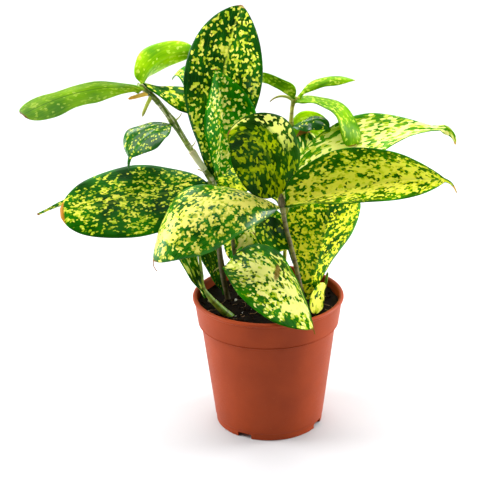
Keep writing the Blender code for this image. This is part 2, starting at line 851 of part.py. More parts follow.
def leaf_spine(leaf, stems):
    """Return a function that gives the midrib's point and axes at a share of the length."""
    steps = 96
    total = leaf.length + leaf.tail
    points = [leaf_start(leaf, stems)]
    turns, climbs = [], []
    for step in range(steps + 1):
        along = step / steps * total / leaf.length
        bend = min(along, 1.0) ** leaf.late
        turns.append(math.radians(leaf.azimuth + leaf.sweep * bend))
        climb = leaf.rise - leaf.droop * bend
        if along > 1.0:
            climb -= leaf.hook * (along - 1.0) * leaf.length / leaf.tail
        climbs.append(math.radians(climb))
    for step in range(steps):
        climb = (climbs[step] + climbs[step + 1]) / 2
        turn = (turns[step] + turns[step + 1]) / 2
        ahead = Vector((math.cos(climb) * math.cos(turn), math.cos(climb) * math.sin(turn), math.sin(climb)))
        points.append(points[-1] + ahead * total / steps)

    def frame_at(along):
        """Return the midrib's point, the way across the blade and the way out of its face."""
        place = min(along * leaf.length / total, 1.0) * steps
        low = min(int(place), steps - 1)
        share = place - low
        turn = turns[low] + (turns[low + 1] - turns[low]) * share
        climb = climbs[low] + (climbs[low + 1] - climbs[low]) * share
        tail_share = max(0.0, along - 1.0) * leaf.length / max(leaf.tail, 1.0)
        turned = leaf.twist * min(along, 1.0) + leaf.tail_turn * min(1.0, 3.0 * tail_share)
        roll = math.radians(leaf.roll + turned)
        ahead = Vector((math.cos(climb) * math.cos(turn), math.cos(climb) * math.sin(turn), math.sin(climb)))
        side = Vector((-math.sin(turn), math.cos(turn), 0.0))
        face = ahead.cross(side)
        across = side * math.cos(roll) + face * math.sin(roll)
        out = face * math.cos(roll) - side * math.sin(roll)
        return points[low].lerp(points[low + 1], share), across, out

    return frame_at


def half_width(leaf, along):
    """Return half the leaf's width at a share of its length: stalk, blade and tip."""
    if along >= 1.0:
        tail_share = (along - 1.0) * leaf.length / max(leaf.tail, 1.0)
        return leaf.tip_width / 2 + (0.5 - leaf.tip_width / 2) * min(1.0, tail_share)
    near, far = leaf.full * leaf.peak, leaf.full * (1.0 - leaf.peak)
    shape = (along / leaf.peak) ** near * ((1.0 - along) / (1.0 - leaf.peak)) ** far
    stalk = STALK_WIDTH / 2 * (1.0 if along < 0.5 else 0.0)
    return max(leaf.width / 2 * shape, stalk, leaf.tip_width / 2)


def half_section(leaf, across):
    """Return how far out and how far up a point lies on one folded and cupped half."""
    out, up, steps = 0.0, 0.0, 12
    for step in range(steps):
        share = (step + 0.5) / steps * across
        angle = math.radians(leaf.fold + leaf.cup * share)
        out += math.cos(angle) * across / steps
        up += math.sin(angle) * across / steps
    return out, up


def build_leaf(leaf, stems):
    """Make a leaf: a grid laid along its midrib, folded, cupped and waved, then thickened."""
    bm = bmesh.new()
    tail_rows = 3 if leaf.tail else 0
    rows = leaf.rows + tail_rows
    bmesh.ops.create_grid(bm, x_segments=leaf.columns, y_segments=rows, size=1.0)
    frame_at = leaf_spine(leaf, stems)
    for vert in bm.verts:
        row = round((vert.co.y + 1) / 2 * rows)
        if row <= leaf.rows:
            along = row / leaf.rows
        else:
            along = 1.0 + leaf.tail / leaf.length * (row - leaf.rows) / tail_rows
        side = math.copysign(1.0, vert.co.x)
        width = half_width(leaf, along)
        out, up = half_section(leaf, abs(vert.co.x))
        middle, across, face = frame_at(along)
        swell = math.sin(math.pi * min(along, 1.0)) ** 0.5 if along < 1.0 else 0.0
        turns = math.tau * (EDGE_WAVES * along + leaf.phase + 0.18 * side)
        ripple = leaf.wave * swell * vert.co.x**2 * math.sin(turns)
        vert.co = middle + across * (side * width * out) + face * (width * up + ripple)
    bmesh.ops.triangulate(bm, faces=bm.faces, quad_method="FIXED")
    bmesh.ops.scale(bm, vec=(MM, MM, MM), verts=bm.verts)
    mesh = bpy.data.meshes.new(leaf.name)
    bm.to_mesh(mesh)
    bm.free()
    mesh.shade_smooth()
    obj = add_object(leaf.name, mesh)
    thicken = obj.modifiers.new("thickness", "SOLIDIFY")
    thicken.thickness = BLADE_THICKNESS * MM
    thicken.offset = 0.0
    give_material(obj, leaf.colour, 0.35)


def place_plant():
    """Let one empty carry every piece, and put the pot's axis in its place."""
    holder = bpy.data.objects.new("plant", None)
    holder.location = (POT_AXIS[0] * MM, POT_AXIS[1] * MM, 0.0)
    bpy.context.scene.collection.objects.link(holder)
    for obj in bpy.data.objects:
        if obj.type == "MESH":
            obj.parent = holder


def build_plant():
    """Clear the scene and make every piece."""
    for obj in list(bpy.data.objects):
        bpy.data.objects.remove(obj)
    stems = {stem.name: stem for stem in STEMS}
    build_pot()
    build_soil(STEMS)
    for stem in STEMS:
        build_stem(stem)
    for leaf in LEAVES:
        build_leaf(leaf, stems)
    place_plant()


build_plant()
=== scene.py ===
"""Gold dust dracaena in its nursery pot: the finished model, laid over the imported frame.

Sizes are written in millimetres and angles in degrees.
Every piece is made in metres, in the frame's own place.
"""

import json
import logging
import math
import random
from dataclasses import dataclass, field
from enum import Enum
from statistics import NormalDist
from typing import Callable

import bmesh
import bpy
from bmesh.types import BMesh
from bpy.types import Material, Node, NodeSocket, NodeTree, Object
from mathutils import Euler, Matrix, Vector, noise

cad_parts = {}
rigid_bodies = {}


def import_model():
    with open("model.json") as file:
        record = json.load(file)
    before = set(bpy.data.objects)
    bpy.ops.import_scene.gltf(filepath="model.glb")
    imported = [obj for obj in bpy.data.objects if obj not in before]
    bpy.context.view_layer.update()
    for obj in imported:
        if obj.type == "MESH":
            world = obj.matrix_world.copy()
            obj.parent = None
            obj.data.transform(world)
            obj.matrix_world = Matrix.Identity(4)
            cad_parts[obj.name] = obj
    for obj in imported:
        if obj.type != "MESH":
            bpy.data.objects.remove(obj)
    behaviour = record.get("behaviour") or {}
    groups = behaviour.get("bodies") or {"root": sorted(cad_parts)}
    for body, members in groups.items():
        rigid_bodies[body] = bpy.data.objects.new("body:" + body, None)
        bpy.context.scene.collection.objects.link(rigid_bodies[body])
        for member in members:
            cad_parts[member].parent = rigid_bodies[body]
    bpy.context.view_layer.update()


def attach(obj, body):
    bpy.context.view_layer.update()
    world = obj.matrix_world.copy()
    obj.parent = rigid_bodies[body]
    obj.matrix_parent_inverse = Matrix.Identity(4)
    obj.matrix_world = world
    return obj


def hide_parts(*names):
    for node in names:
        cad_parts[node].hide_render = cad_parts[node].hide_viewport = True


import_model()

LOG = logging.getLogger("gold_dust_dracaena")

MM = 0.001
BODY = "root"
POT_AXIS = Vector((17.4, -26.9, 0.0))  # the pot's axis, from the frame's origin
PATTERN_SHIFT = (83.0, 61.0)  # from one leaf's pattern to the next, so that no two leaves look alike

# UV maps of a blade or a stem: one in millimetres along its surface, one in shares of its size
UV_MM = "surface_mm"
UV_SHARE = "surface_share"


class DustPattern(Enum):
    """How the pale dust lies on a leaf."""

    SCATTERED = "dots and blotches all over"
    CENTRED = "merged along the midrib, with green margins"
    FAINT = "a few faint dots on a young leaf"


class WispKind(Enum):
    """What grows from a stem beside its leaves."""

    SHEATH = "dry papery sheath tip"
    ORANGE_BUD = "blunt orange bud"
    OLIVE_BUD = "olive bud"
    CLASPING = "pale papery sheath that still wraps the stem"


def linear_colour(hex_text: str, alpha: float = 1.0) -> tuple[float, float, float, float]:
    """Turn an sRGB hex colour into the linear colour that a shader takes.

    Args:
        hex_text: colour as "#RRGGBB".
        alpha: opacity of the colour.

    Returns:
        Red, green, blue and alpha in linear light.
    """
    light = []
    for place in (1, 3, 5):
        part = int(hex_text[place : place + 2], 16) / 255
        light.append(part / 12.92 if part <= 0.04045 else ((part + 0.055) / 1.055) ** 2.4)
    return (*light, alpha)


def add_node(tree: NodeTree, kind: str, settings: dict | None = None, links: dict | None = None) -> Node:
    """Add one shader node with its settings and its links.

    Args:
        tree: node tree that gets the node.
        kind: Blender's name for the type of node, without its ShaderNode.
        settings: values by property name, or by the name or number of an input; a colour is hex.
        links: what feeds each input, by the input's name or number.

    Returns:
        The new node.
    """
    node = tree.nodes.new("ShaderNode" + kind)
    for key, value in (settings or {}).items():
        if isinstance(key, str) and hasattr(node, key):
            setattr(node, key, value)
        else:
            node.inputs[key].default_value = linear_colour(value) if isinstance(value, str) else value
    feed(tree, node, links or {})
    return node


def feed(tree: NodeTree, node: Node, links: dict) -> None:
    """Feed a node's inputs.

    Args:
        tree: node tree that holds the node.
        node: node that is fed.
        links: a socket, or a node for its first one, by the name or number of an input.
    """
    for key, source in links.items():
        tree.links.new(source.outputs[0] if isinstance(source, Node) else source, node.inputs[key])


def open_material(name: str, settings: dict) -> tuple[Material, NodeTree, Node]:
    """Start a material from its Principled shader.

    Args:
        name: what the material is.
        settings: the shader's constant values by socket name.

    Returns:
        The material, its node tree and its shader.
    """
    material = bpy.data.materials.new(name)
    material.use_nodes = True
    tree = material.node_tree
    shader = tree.nodes["Principled BSDF"]
    for key, value in settings.items():
        shader.inputs[key].default_value = value
    return material, tree, shader


def stretched_noise(
    tree: NodeTree, surface: Node, size: tuple[float, float], detail: float, roughness: float = 0.5
) -> Node:
    """Draw a soft irregular pattern over a surface, as wide and as long as asked.

    Args:
        tree: the material's node tree.
        surface: place on the surface in millimetres.
        size: width and length of the pattern's forms in millimetres.
        detail: how many finer sizes are mixed in.
        roughness: how strong those are.

    Returns:
        Node that gives the pattern, spread round a half.
    """
    drawn = add_node(tree, "Mapping", {"Scale": (1 / size[0], 1 / size[1], 1)}, {0: surface})
    settings = {"noise_dimensions": "2D", "Scale": 1.0, "Detail": detail, "Roughness": roughness}
    return add_node(tree, "TexNoise", settings, {"Vector": drawn})


def finish_mesh(name: str, bm: BMesh, materials: list[Material], smooth_angle: float = 40.0) -> Object:
    """Turn a bmesh in millimetres into a smooth object in metres.

    Args:
        name: name of the object.
        bm: shape in millimetres from the pot's axis; it is freed here.
        materials: materials in the order of their slots.
        smooth_angle: edges sharper than this many degrees stay sharp.

    Returns:
        The object, at the origin.
    """
    bmesh.ops.translate(bm, vec=POT_AXIS, verts=bm.verts)
    bmesh.ops.scale(bm, vec=(MM, MM, MM), verts=bm.verts)
    mesh = bpy.data.meshes.new(name)
    bm.to_mesh(mesh)
    bm.free()
    mesh.shade_smooth()
    mesh.set_sharp_from_angle(angle=math.radians(smooth_angle))
    for material in materials:
        mesh.materials.append(material)
    obj = bpy.data.objects.new(name, mesh)
    bpy.context.scene.collection.objects.link(obj)
    return obj


def declare(piece: Object, node: str, slot: str) -> None:
    """Say which CAD node a piece stands for, and which material slot it takes.

    Args:
        piece: the finished object.
        node: the CAD node that it replaces.
        slot: the record's material slot.
    """
    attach(piece, BODY)
    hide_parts(node)
    LOG.info("%s: %d faces, stands for %s, slot %s", piece.name, len(piece.data.polygons), node, slot)


def smooth_line(points: list[tuple[float, float, float]], steps: int = 10) -> list[Vector]:
    """Lay a smooth curve through all the given points.

    Args:
        points: the points, in millimetres.
        steps: how many points the curve gets from one given point to the next.

    Returns:
        Points along the curve.
    """
    knots = [Vector(point) for point in points]
    knots.insert(0, 2 * knots[0] - knots[1])
    knots.append(2 * knots[-1] - knots[-2])
    line = []
    for before, start, end, after in zip(knots, knots[1:], knots[2:], knots[3:]):
        for step in range(steps):
            t = step / steps
            linear = (end - before) * t
            square = (2 * before - 5 * start + 4 * end - after) * t**2
            cube = (3 * start - before - 3 * end + after) * t**3
            line.append((2 * start + linear + square + cube) / 2)
    line.append(knots[-2].copy())
    return line


def wrap_tube(
    bm: BMesh,
    line: list[Vector],
    radius_at: Callable[[int, float], float],
    sides: int,
    material_index: int = 0,
) -> None:
    """Wrap a grid round a line as a closed tube, with both UV maps.

    Args:
        bm: bmesh that gets the tube.
        line: points of the centre line.
        radius_at: gives the radius from the number of a point and the angle round the tube in radians.
        sides: faces round the tube.
        material_index: material slot of the faces.
    """
    rows = len(line) - 1
    lengths = [0.0]
    for low, high in zip(line, line[1:]):
        lengths.append(lengths[-1] + (high - low).length)
    made = bmesh.ops.create_grid(bm, x_segments=sides, y_segments=rows, size=1.0)["verts"]
    spread = {vert: (round((vert.co.x + 1) / 2 * sides), round((vert.co.y + 1) / 2 * rows)) for vert in made}
    overall = (line[-1] - line[0]).normalized()
    reference = Vector((0, 1, 0)) if abs(overall.y) < 0.8 else Vector((1, 0, 0))
    uv_mm = bm.loops.layers.uv.get(UV_MM) or bm.loops.layers.uv.new(UV_MM)
    uv_share = bm.loops.layers.uv.get(UV_SHARE) or bm.loops.layers.uv.new(UV_SHARE)
    for vert, (column, row) in spread.items():
        ahead = (line[min(row + 1, rows)] - line[max(row - 1, 0)]).normalized()
        across = ahead.cross(reference).normalized()
        up = across.cross(ahead)
        angle = math.tau * column / sides
        radius = 0.0 if row in (0, rows) else radius_at(row, angle)
        vert.co = line[row] + (across * math.cos(angle) + up * math.sin(angle)) * radius
    middle_radius = radius_at(rows // 2, 0.0)
    for face in {face for vert in made for face in vert.link_faces}:
        face.material_index = material_index
        for loop in face.loops:
            column, row = spread[loop.vert]
            loop[uv_mm].uv = (math.tau * column / sides * middle_radius, lengths[row])
            loop[uv_share].uv = (column / sides, lengths[row] / lengths[-1])
    bmesh.ops.remove_doubles(bm, verts=made, dist=0.0005)


def close_shape(bm: BMesh) -> None:
    """Turn all faces of closed shapes outwards."""
    bmesh.ops.recalc_face_normals(bm, faces=bm.faces)


@dataclass(frozen=True)
class LeafFinish:
    """Living leaf: green tissue with pale spots that hold no green, under a wax that gives a soft gloss."""

    name: str
    slot: str
    pattern: DustPattern = DustPattern.SCATTERED
    deep_green: str = "#063E00"
    bright_green: str = "#2E8A00"
    dust: str = "#F7F566"
    dust_edge: str = "#B9CC14"
    coverage: float = 0.33
    cell: float = 1.4  # one patch of tissue between the fine veins
    blotch: float = 4.2  # size of the blotches that the patches make
    stretch: float = 1.5  # how far the spots are drawn out along the leaf
    single: float = 0.25  # share of the dust that lies in single dots
    centre_gain: float = 0.0
    centre_reach: float = 0.6
    margin: float = 0.06
    streaks: float = 0.0
    midrib: str = "#8FAE2E"
    midrib_strength: float = 0.15
    # Painted highlight: the next three settings make one half of the blade lighter towards its tip, with more
    # and paler dust, where an arching leaf catches the light
    painted_light_side: float = 0.0  # gain of dust beyond a half of one side, minus for the other side
    painted_light_from: float = 0.35
    painted_light_dust: str = "#EAEC7C"
    crease: tuple[float, float] | None = None  # where a dry brown crease lies: across and along, in shares
    dry_from: float = 0.985
    dry_colour: str = "#8A5A22"
    roughness: float = 0.3
    gloss: float = 0.07
    wax: float = 0.0
    vein_gap: float = 0.9
    vein_length: float = 30.0
    cloud_size: float = 22.0  # slow change of the green over the blade

    def make(self) -> Material:
        """Make the material.

        Returns:
            The leaf's material, which reads the blade's two UV maps.
        """
        settings = {"IOR": 1.4, "Specular IOR Level": self.gloss, "Coat Weight": self.wax}
        settings |= {"Coat Roughness": 0.1, "Subsurface Weight": 0.25}
        settings |= {"Subsurface Radius": (0.9, 1.3, 0.2), "Subsurface Scale": MM}
        material, tree, shader = open_material(self.name, settings)
        surface = add_node(tree, "UVMap", {"uv_map": UV_MM})
        share = add_node(tree, "UVMap", {"uv_map": UV_SHARE})
        place = add_node(tree, "SeparateXYZ", links={0: share})
        aside = add_node(tree, "Math", {"operation": "ABSOLUTE"}, {0: place.outputs[0]})
        along = place.outputs[1]

        # Fine veins run from stalk to tip, about a millimetre apart
        veins = stretched_noise(tree, surface, (self.vein_gap, self.vein_length), 3.0, 0.6)
        cloud = stretched_noise(tree, surface, (self.cloud_size, self.cloud_size), 2.0)
        tone = add_node(tree, "Math", {"operation": "MULTIPLY_ADD", 1: 0.45}, {0: veins, 2: cloud})
        tone = add_node(tree, "MapRange", {1: 0.48, 2: 0.98}, {0: tone})
        colours = {"data_type": "RGBA", 6: self.deep_green, 7: self.bright_green}
        colour = add_node(tree, "Mix", colours, {0: tone}).outputs[2]

        dust = self._dust_level(tree, surface, place.outputs[0], along, cloud, veins)
        # The level spreads like a bell round a half, so the wanted share of dust lies above this limit
        limit = NormalDist(0.5, 0.115).inv_cdf(1 - self.coverage)
        inner = add_node(
            tree, "MapRange", {"interpolation_type": "SMOOTHSTEP", 1: limit, 2: limit + 0.13}, {0: dust}
        )
        colours = {"data_type": "RGBA", 6: self.dust_edge, 7: self.dust}
        paint = add_node(tree, "Mix", colours, {0: inner}).outputs[2]
        # Painted highlight: the lit half of the blade gets paler dust
        if self.painted_light_side:
            pale = self._painted_light_band(tree, place.outputs[0], along, veins)
            colours = {"data_type": "RGBA", 7: self.painted_light_dust}
            paint = add_node(tree, "Mix", colours, {0: pale, 6: paint}).outputs[2]
        spots = add_node(
            tree,
            "MapRange",
            {"interpolation_type": "SMOOTHSTEP", 1: limit - 0.018, 2: limit + 0.018},
            {0: dust},
        )
        if self.pattern is DustPattern.FAINT:
            spots = add_node(tree, "Math", {"operation": "MULTIPLY", 1: 0.55}, {0: spots})
        colour = add_node(tree, "Mix", {"data_type": "RGBA"}, {0: spots, 6: colour, 7: paint}).outputs[2]

        # The midrib shows as a narrow line, paler on most leaves; where its colour is darker it is painted
        # shade of a fold
        rib = add_node(tree, "MapRange", {1: 0.05, 2: 0.02, 3: 0.0, 4: self.midrib_strength}, {0: aside})
        colours = {"data_type": "RGBA", 7: self.midrib}
        colour = add_node(tree, "Mix", colours, {0: rib, 6: colour}).outputs[2]

        if self.crease:
            colour = self._creased(tree, place, veins, colour)

        # The tip dries out to brown, with a ragged line between
        ragged = add_node(tree, "Math", {"operation": "MULTIPLY_ADD", 1: 0.03}, {0: veins, 2: along})
        dry = add_node(tree, "MapRange", {1: self.dry_from + 0.012, 2: self.dry_from + 0.022}, {0: ragged})
        colours = {"data_type": "RGBA", 7: self.dry_colour}
        colour = add_node(tree, "Mix", colours, {0: dry, 6: colour}).outputs[2]

        # The wax is a little duller over the dust and over the veins
        dull = add_node(
            tree, "MapRange", {1: 0.3, 2: 0.7, 3: self.roughness - 0.05, 4: self.roughness + 0.07}, {0: veins}
        )
        dull = add_node(tree, "Math", {"operation": "MULTIPLY_ADD", 1: 0.06}, {0: spots, 2: dull})
        relief = add_node(tree, "Math", {"operation": "MULTIPLY_ADD", 1: 0.25}, {0: spots, 2: veins})
        bump = add_node(tree, "Bump", {"Strength": 0.35, "Distance": 0.25 * MM}, {"Height": relief})
        feed(tree, shader, {"Base Color": colour, "Roughness": dull, "Normal": bump})
        return material

    def _creased(self, tree: NodeTree, place: Node, veins: Node, colour: NodeSocket) -> NodeSocket:
        """Draw the short brown crease where the blade was once bent.

        Args:
            tree: the material's node tree.
            place: node that gives the place on the blade in shares.
            veins: fine lines along the blade.
            colour: colour of the blade.

        Returns:
            Socket of the colour with the crease.
        """
        across, along = self.crease
        shares = {0: place.outputs[0], 1: place.outputs[1]}
        offset = {"operation": "SUBTRACT", 1: (across, along, 0.0)}
        spread = {"operation": "MULTIPLY", 1: (4.0, 36.0, 0.0)}
        away = add_node(tree, "CombineXYZ", links=shares)
        away = add_node(tree, "VectorMath", offset, {0: away})
        away = add_node(tree, "VectorMath", spread, {0: away})
        away = add_node(tree, "VectorMath", {"operation": "LENGTH"}, {0: away}).outputs[1]
        ragged = add_node(tree, "Math", {"operation": "MULTIPLY_ADD", 1: 1.2}, {0: veins, 2: away})
        brown = add_node(tree, "MapRange", {1: 1.75, 2: 1.35, 3: 0.0, 4: 0.9}, {0: ragged})
        colours = {"data_type": "RGBA", 7: self.dry_colour}
        return add_node(tree, "Mix", colours, {0: brown, 6: colour}).outputs[2]

    def _painted_light_band(self, tree: NodeTree, across: NodeSocket, along: NodeSocket, veins: Node) -> Node:
        """Paint a lit band as a painted highlight: the outer part of one half of the blade, from about
        halfway along to its tip.

        Args:
            tree: the material's node tree.
            across: share of the way from the midrib to the edge, minus on the right.
            along: share of the way from the stalk to the tip.
            veins: fine lines along the blade.

        Returns:
            Node that gives the painted light, from nought to one.
        """
        way = math.copysign(1.0, self.painted_light_side)
        turned = add_node(tree, "Math", {"operation": "MULTIPLY", 1: way}, {0: across})
        uneven = add_node(tree, "Math", {"operation": "MULTIPLY_ADD", 1: 0.2}, {0: veins, 2: turned})
        limits = {"interpolation_type": "SMOOTHSTEP", 1: self.painted_light_from + 0.05, 2: self.painted_light_from + 0.2}
        side = add_node(tree, "MapRange", limits, {0: uneven})
        far = add_node(tree, "MapRange", {1: 0.3, 2: 0.55}, {0: along})
        return add_node(tree, "Math", {"operation": "MULTIPLY"}, {0: side, 1: far})

    def _dust_level(
        self,
        tree: NodeTree,
        surface: Node,
        across: NodeSocket,
        along: NodeSocket,
        cloud: Node,
        veins: Node,
    ) -> Node:
        """Lay the dust out: small patches of tissue are pale or green as whole patches, in clusters.

        Args:
            tree: the material's node tree.
            surface: place on the blade in millimetres.
            across: share of the way from the midrib to the edge, minus on the right.
            along: share of the way from the stalk to the tip.
            cloud: slow variation over the blade.
            veins: fine lines along the blade.

        Returns:
            Node that gives the dust level, spread round a half.
        """
        aside = add_node(tree, "Math", {"operation": "ABSOLUTE"}, {0: across})
        scale = (1 / self.cell, 1 / (self.cell * self.stretch), 1)
        patches = add_node(tree, "Mapping", {"Scale": scale}, {0: surface})
        cells = add_node(
            tree,
            "TexVoronoi",
            {"voronoi_dimensions": "2D", "Scale": 1.0, "Randomness": 1.0},
            {"Vector": patches},
        )
        cluster = add_node(
            tree,
            "TexNoise",
            {"noise_dimensions": "2D", "Scale": self.cell / self.blotch, "Detail": 2.0, "Roughness": 0.6},
            {"Vector": cells.outputs["Position"]},
        )
        chance = add_node(tree, "SeparateColor", links={0: cells.outputs["Color"]})
        chance = add_node(tree, "Math", {"operation": "MULTIPLY", 1: self.single}, {0: chance})
        level = add_node(
            tree, "Math", {"operation": "MULTIPLY_ADD", 1: 1 - self.single}, {0: cluster, 2: chance}
        )
        shift = add_node(tree, "MapRange", {1: 0.3, 2: 0.7, 3: -0.06, 4: 0.06}, {0: cloud})
        level = add_node(tree, "Math", {"operation": "ADD"}, {0: level, 1: shift})
        edge = add_node(tree, "MapRange", {1: 1 - self.margin * 2, 2: 1.0, 3: 0.0, 4: -0.22}, {0: aside})
        level = add_node(tree, "Math", {"operation": "ADD"}, {0: level, 1: edge})
        if self.pattern is DustPattern.CENTRED:
            limits = {1: 0.0, 2: self.centre_reach, 3: self.centre_gain, 4: 0.0}
            limits |= {"interpolation_type": "SMOOTHSTEP"}
            gain = add_node(tree, "MapRange", limits, {0: aside})
            ends = add_node(tree, "MapRange", {1: 0.8, 2: 1.0, 3: 1.0, 4: 0.2}, {0: along})
            level = add_node(tree, "Math", {"operation": "MULTIPLY_ADD"}, {0: gain, 1: ends, 2: level})
        # Painted highlight: more dust on the lit half of the blade, so that it shows lighter
        if self.painted_light_side:
            pale = self._painted_light_band(tree, across, along, veins)
            gain = {"operation": "MULTIPLY_ADD", 1: abs(self.painted_light_side)}
            level = add_node(tree, "Math", gain, {0: pale, 2: level})
        if self.streaks:
            lines = add_node(
                tree, "MapRange", {1: 0.3, 2: 0.7, 3: -self.streaks, 4: self.streaks}, {0: veins}
            )
            level = add_node(tree, "Math", {"operation": "ADD"}, {0: level, 1: lines})
        return level


@dataclass(frozen=True)
class BarkFinish:
    """Thin woody stem: smooth olive bark, satin, with pale lengthwise cracks and darker rings."""

    name: str
    slot: str
    low_colour: str = "#5B5236"
    high_colour: str = "#7C7A3E"
    crack_colour: str = "#A79A72"
    scar_colour: str = "#2E2414"
    old_colour: str = "#4E4226"
    remains: float = 0.0  # how much papery sheath still clings to the bark
    remains_colour: str = "#D2D0A6"
    low_brown: float = 0.0  # share of the height over which old brown bark gives way to green
    ring_gap: float = 7.0
    grain_size: tuple[float, float] = (0.9, 6.0)  # width and length of a crack
    cloud_size: float = 9.0
    remains_size: tuple[float, float] = (2.2, 9.0)
    roughness: float = 0.55

    def make(self) -> Material:
        """Make the material.

        Returns:
            The bark's material, which reads the stem's two UV maps.
        """
        material, tree, shader = open_material(self.name, {"IOR": 1.45})
        surface = add_node(tree, "UVMap", {"uv_map": UV_MM})
        grain = stretched_noise(tree, surface, self.grain_size, 4.0, 0.7)
        cloud = stretched_noise(tree, surface, (self.cloud_size, self.cloud_size), 2.0)
        rings = add_node(
            tree,
            "TexWave",
            {"bands_direction": "Y", "Scale": 0.314 / self.ring_gap, "Distortion": 1.5, "Detail": 2.0},
            {"Vector": surface},
        ).outputs[1]
        tone = add_node(tree, "MapRange", {1: 0.35, 2: 0.65}, {0: cloud})
        colours = {"data_type": "RGBA", 6: self.low_colour, 7: self.high_colour}
        colour = add_node(tree, "Mix", colours, {0: tone}).outputs[2]
        cracks = add_node(tree, "MapRange", {1: 0.56, 2: 0.7, 3: 0.0, 4: 0.7}, {0: grain})
        colours = {"data_type": "RGBA", 7: self.crack_colour}
        colour = add_node(tree, "Mix", colours, {0: cracks, 6: colour}).outputs[2]
        if self.remains:
            patch = stretched_noise(tree, surface, self.remains_size, 2.0)
            limits = {1: 0.62 - self.remains, 2: 0.66 - self.remains, 3: 0.0, 4: 0.8}
            clings = add_node(tree, "MapRange", limits, {0: patch})
            colours = {"data_type": "RGBA", 7: self.remains_colour}
            colour = add_node(tree, "Mix", colours, {0: clings, 6: colour}).outputs[2]
        if self.low_brown:
            share = add_node(tree, "UVMap", {"uv_map": UV_SHARE})
            height = add_node(tree, "SeparateXYZ", links={0: share}).outputs[1]
            uneven = add_node(tree, "Math", {"operation": "MULTIPLY_ADD", 1: 0.35}, {0: cloud, 2: height})
            limits = {1: 0.15 + self.low_brown, 2: 0.45 + self.low_brown, 3: 0.9, 4: 0.0}
            old = add_node(tree, "MapRange", limits, {0: uneven})
            colours = {"data_type": "RGBA", 7: self.old_colour}
            colour = add_node(tree, "Mix", colours, {0: old, 6: colour}).outputs[2]
        scars = add_node(tree, "MapRange", {1: 0.9, 2: 0.99, 3: 0.0, 4: 0.55}, {0: rings})
        colours = {"data_type": "RGBA", 7: self.scar_colour}
        colour = add_node(tree, "Mix", colours, {0: scars, 6: colour}).outputs[2]
        dull = add_node(tree, "MapRange", {3: self.roughness - 0.12, 4: self.roughness + 0.15}, {0: grain})
        relief = add_node(tree, "Math", {"operation": "MULTIPLY_ADD", 1: -0.6}, {0: rings, 2: grain})
        bump = add_node(tree, "Bump", {"Strength": 0.6, "Distance": 0.3 * MM}, {"Height": relief})
        feed(tree, shader, {"Base Color": colour, "Roughness": dull, "Normal": bump})
        return material


@dataclass(frozen=True)
class SheathFinish:
    """Dry sheath tip or bud scale: thin fibrous tissue, darker at its end, without gloss."""

    name: str
    body_colour: str
    tip_colour: str
    roughness: float = 0.6
    fibre_size: tuple[float, float] = (0.6, 8.0)

    def make(self) -> Material:
        """Make the material.

        Returns:
            The sheath's material, which reads the wisp's two UV maps.
        """
        material, tree, shader = open_material(self.name, {"IOR": 1.45})
        surface = add_node(tree, "UVMap", {"uv_map": UV_MM})
        share = add_node(tree, "UVMap", {"uv_map": UV_SHARE})
        along = add_node(tree, "SeparateXYZ", links={0: share}).outputs[1]
        fibres = stretched_noise(tree, surface, self.fibre_size, 3.0)
        end = add_node(tree, "Math", {"operation": "MULTIPLY_ADD", 1: 0.25}, {0: fibres, 2: along})
        end = add_node(tree, "MapRange", {1: 0.55, 2: 1.15}, {0: end})
        colours = {"data_type": "RGBA", 6: self.body_colour, 7: self.tip_colour}
        colour = add_node(tree, "Mix", colours, {0: end}).outputs[2]
        dull = add_node(tree, "MapRange", {3: self.roughness - 0.1, 4: self.roughness + 0.15}, {0: fibres})
        bump = add_node(tree, "Bump", {"Strength": 0.5, "Distance": 0.2 * MM}, {"Height": fibres})
        feed(tree, shader, {"Base Color": colour, "Roughness": dull, "Normal": bump})
        return material


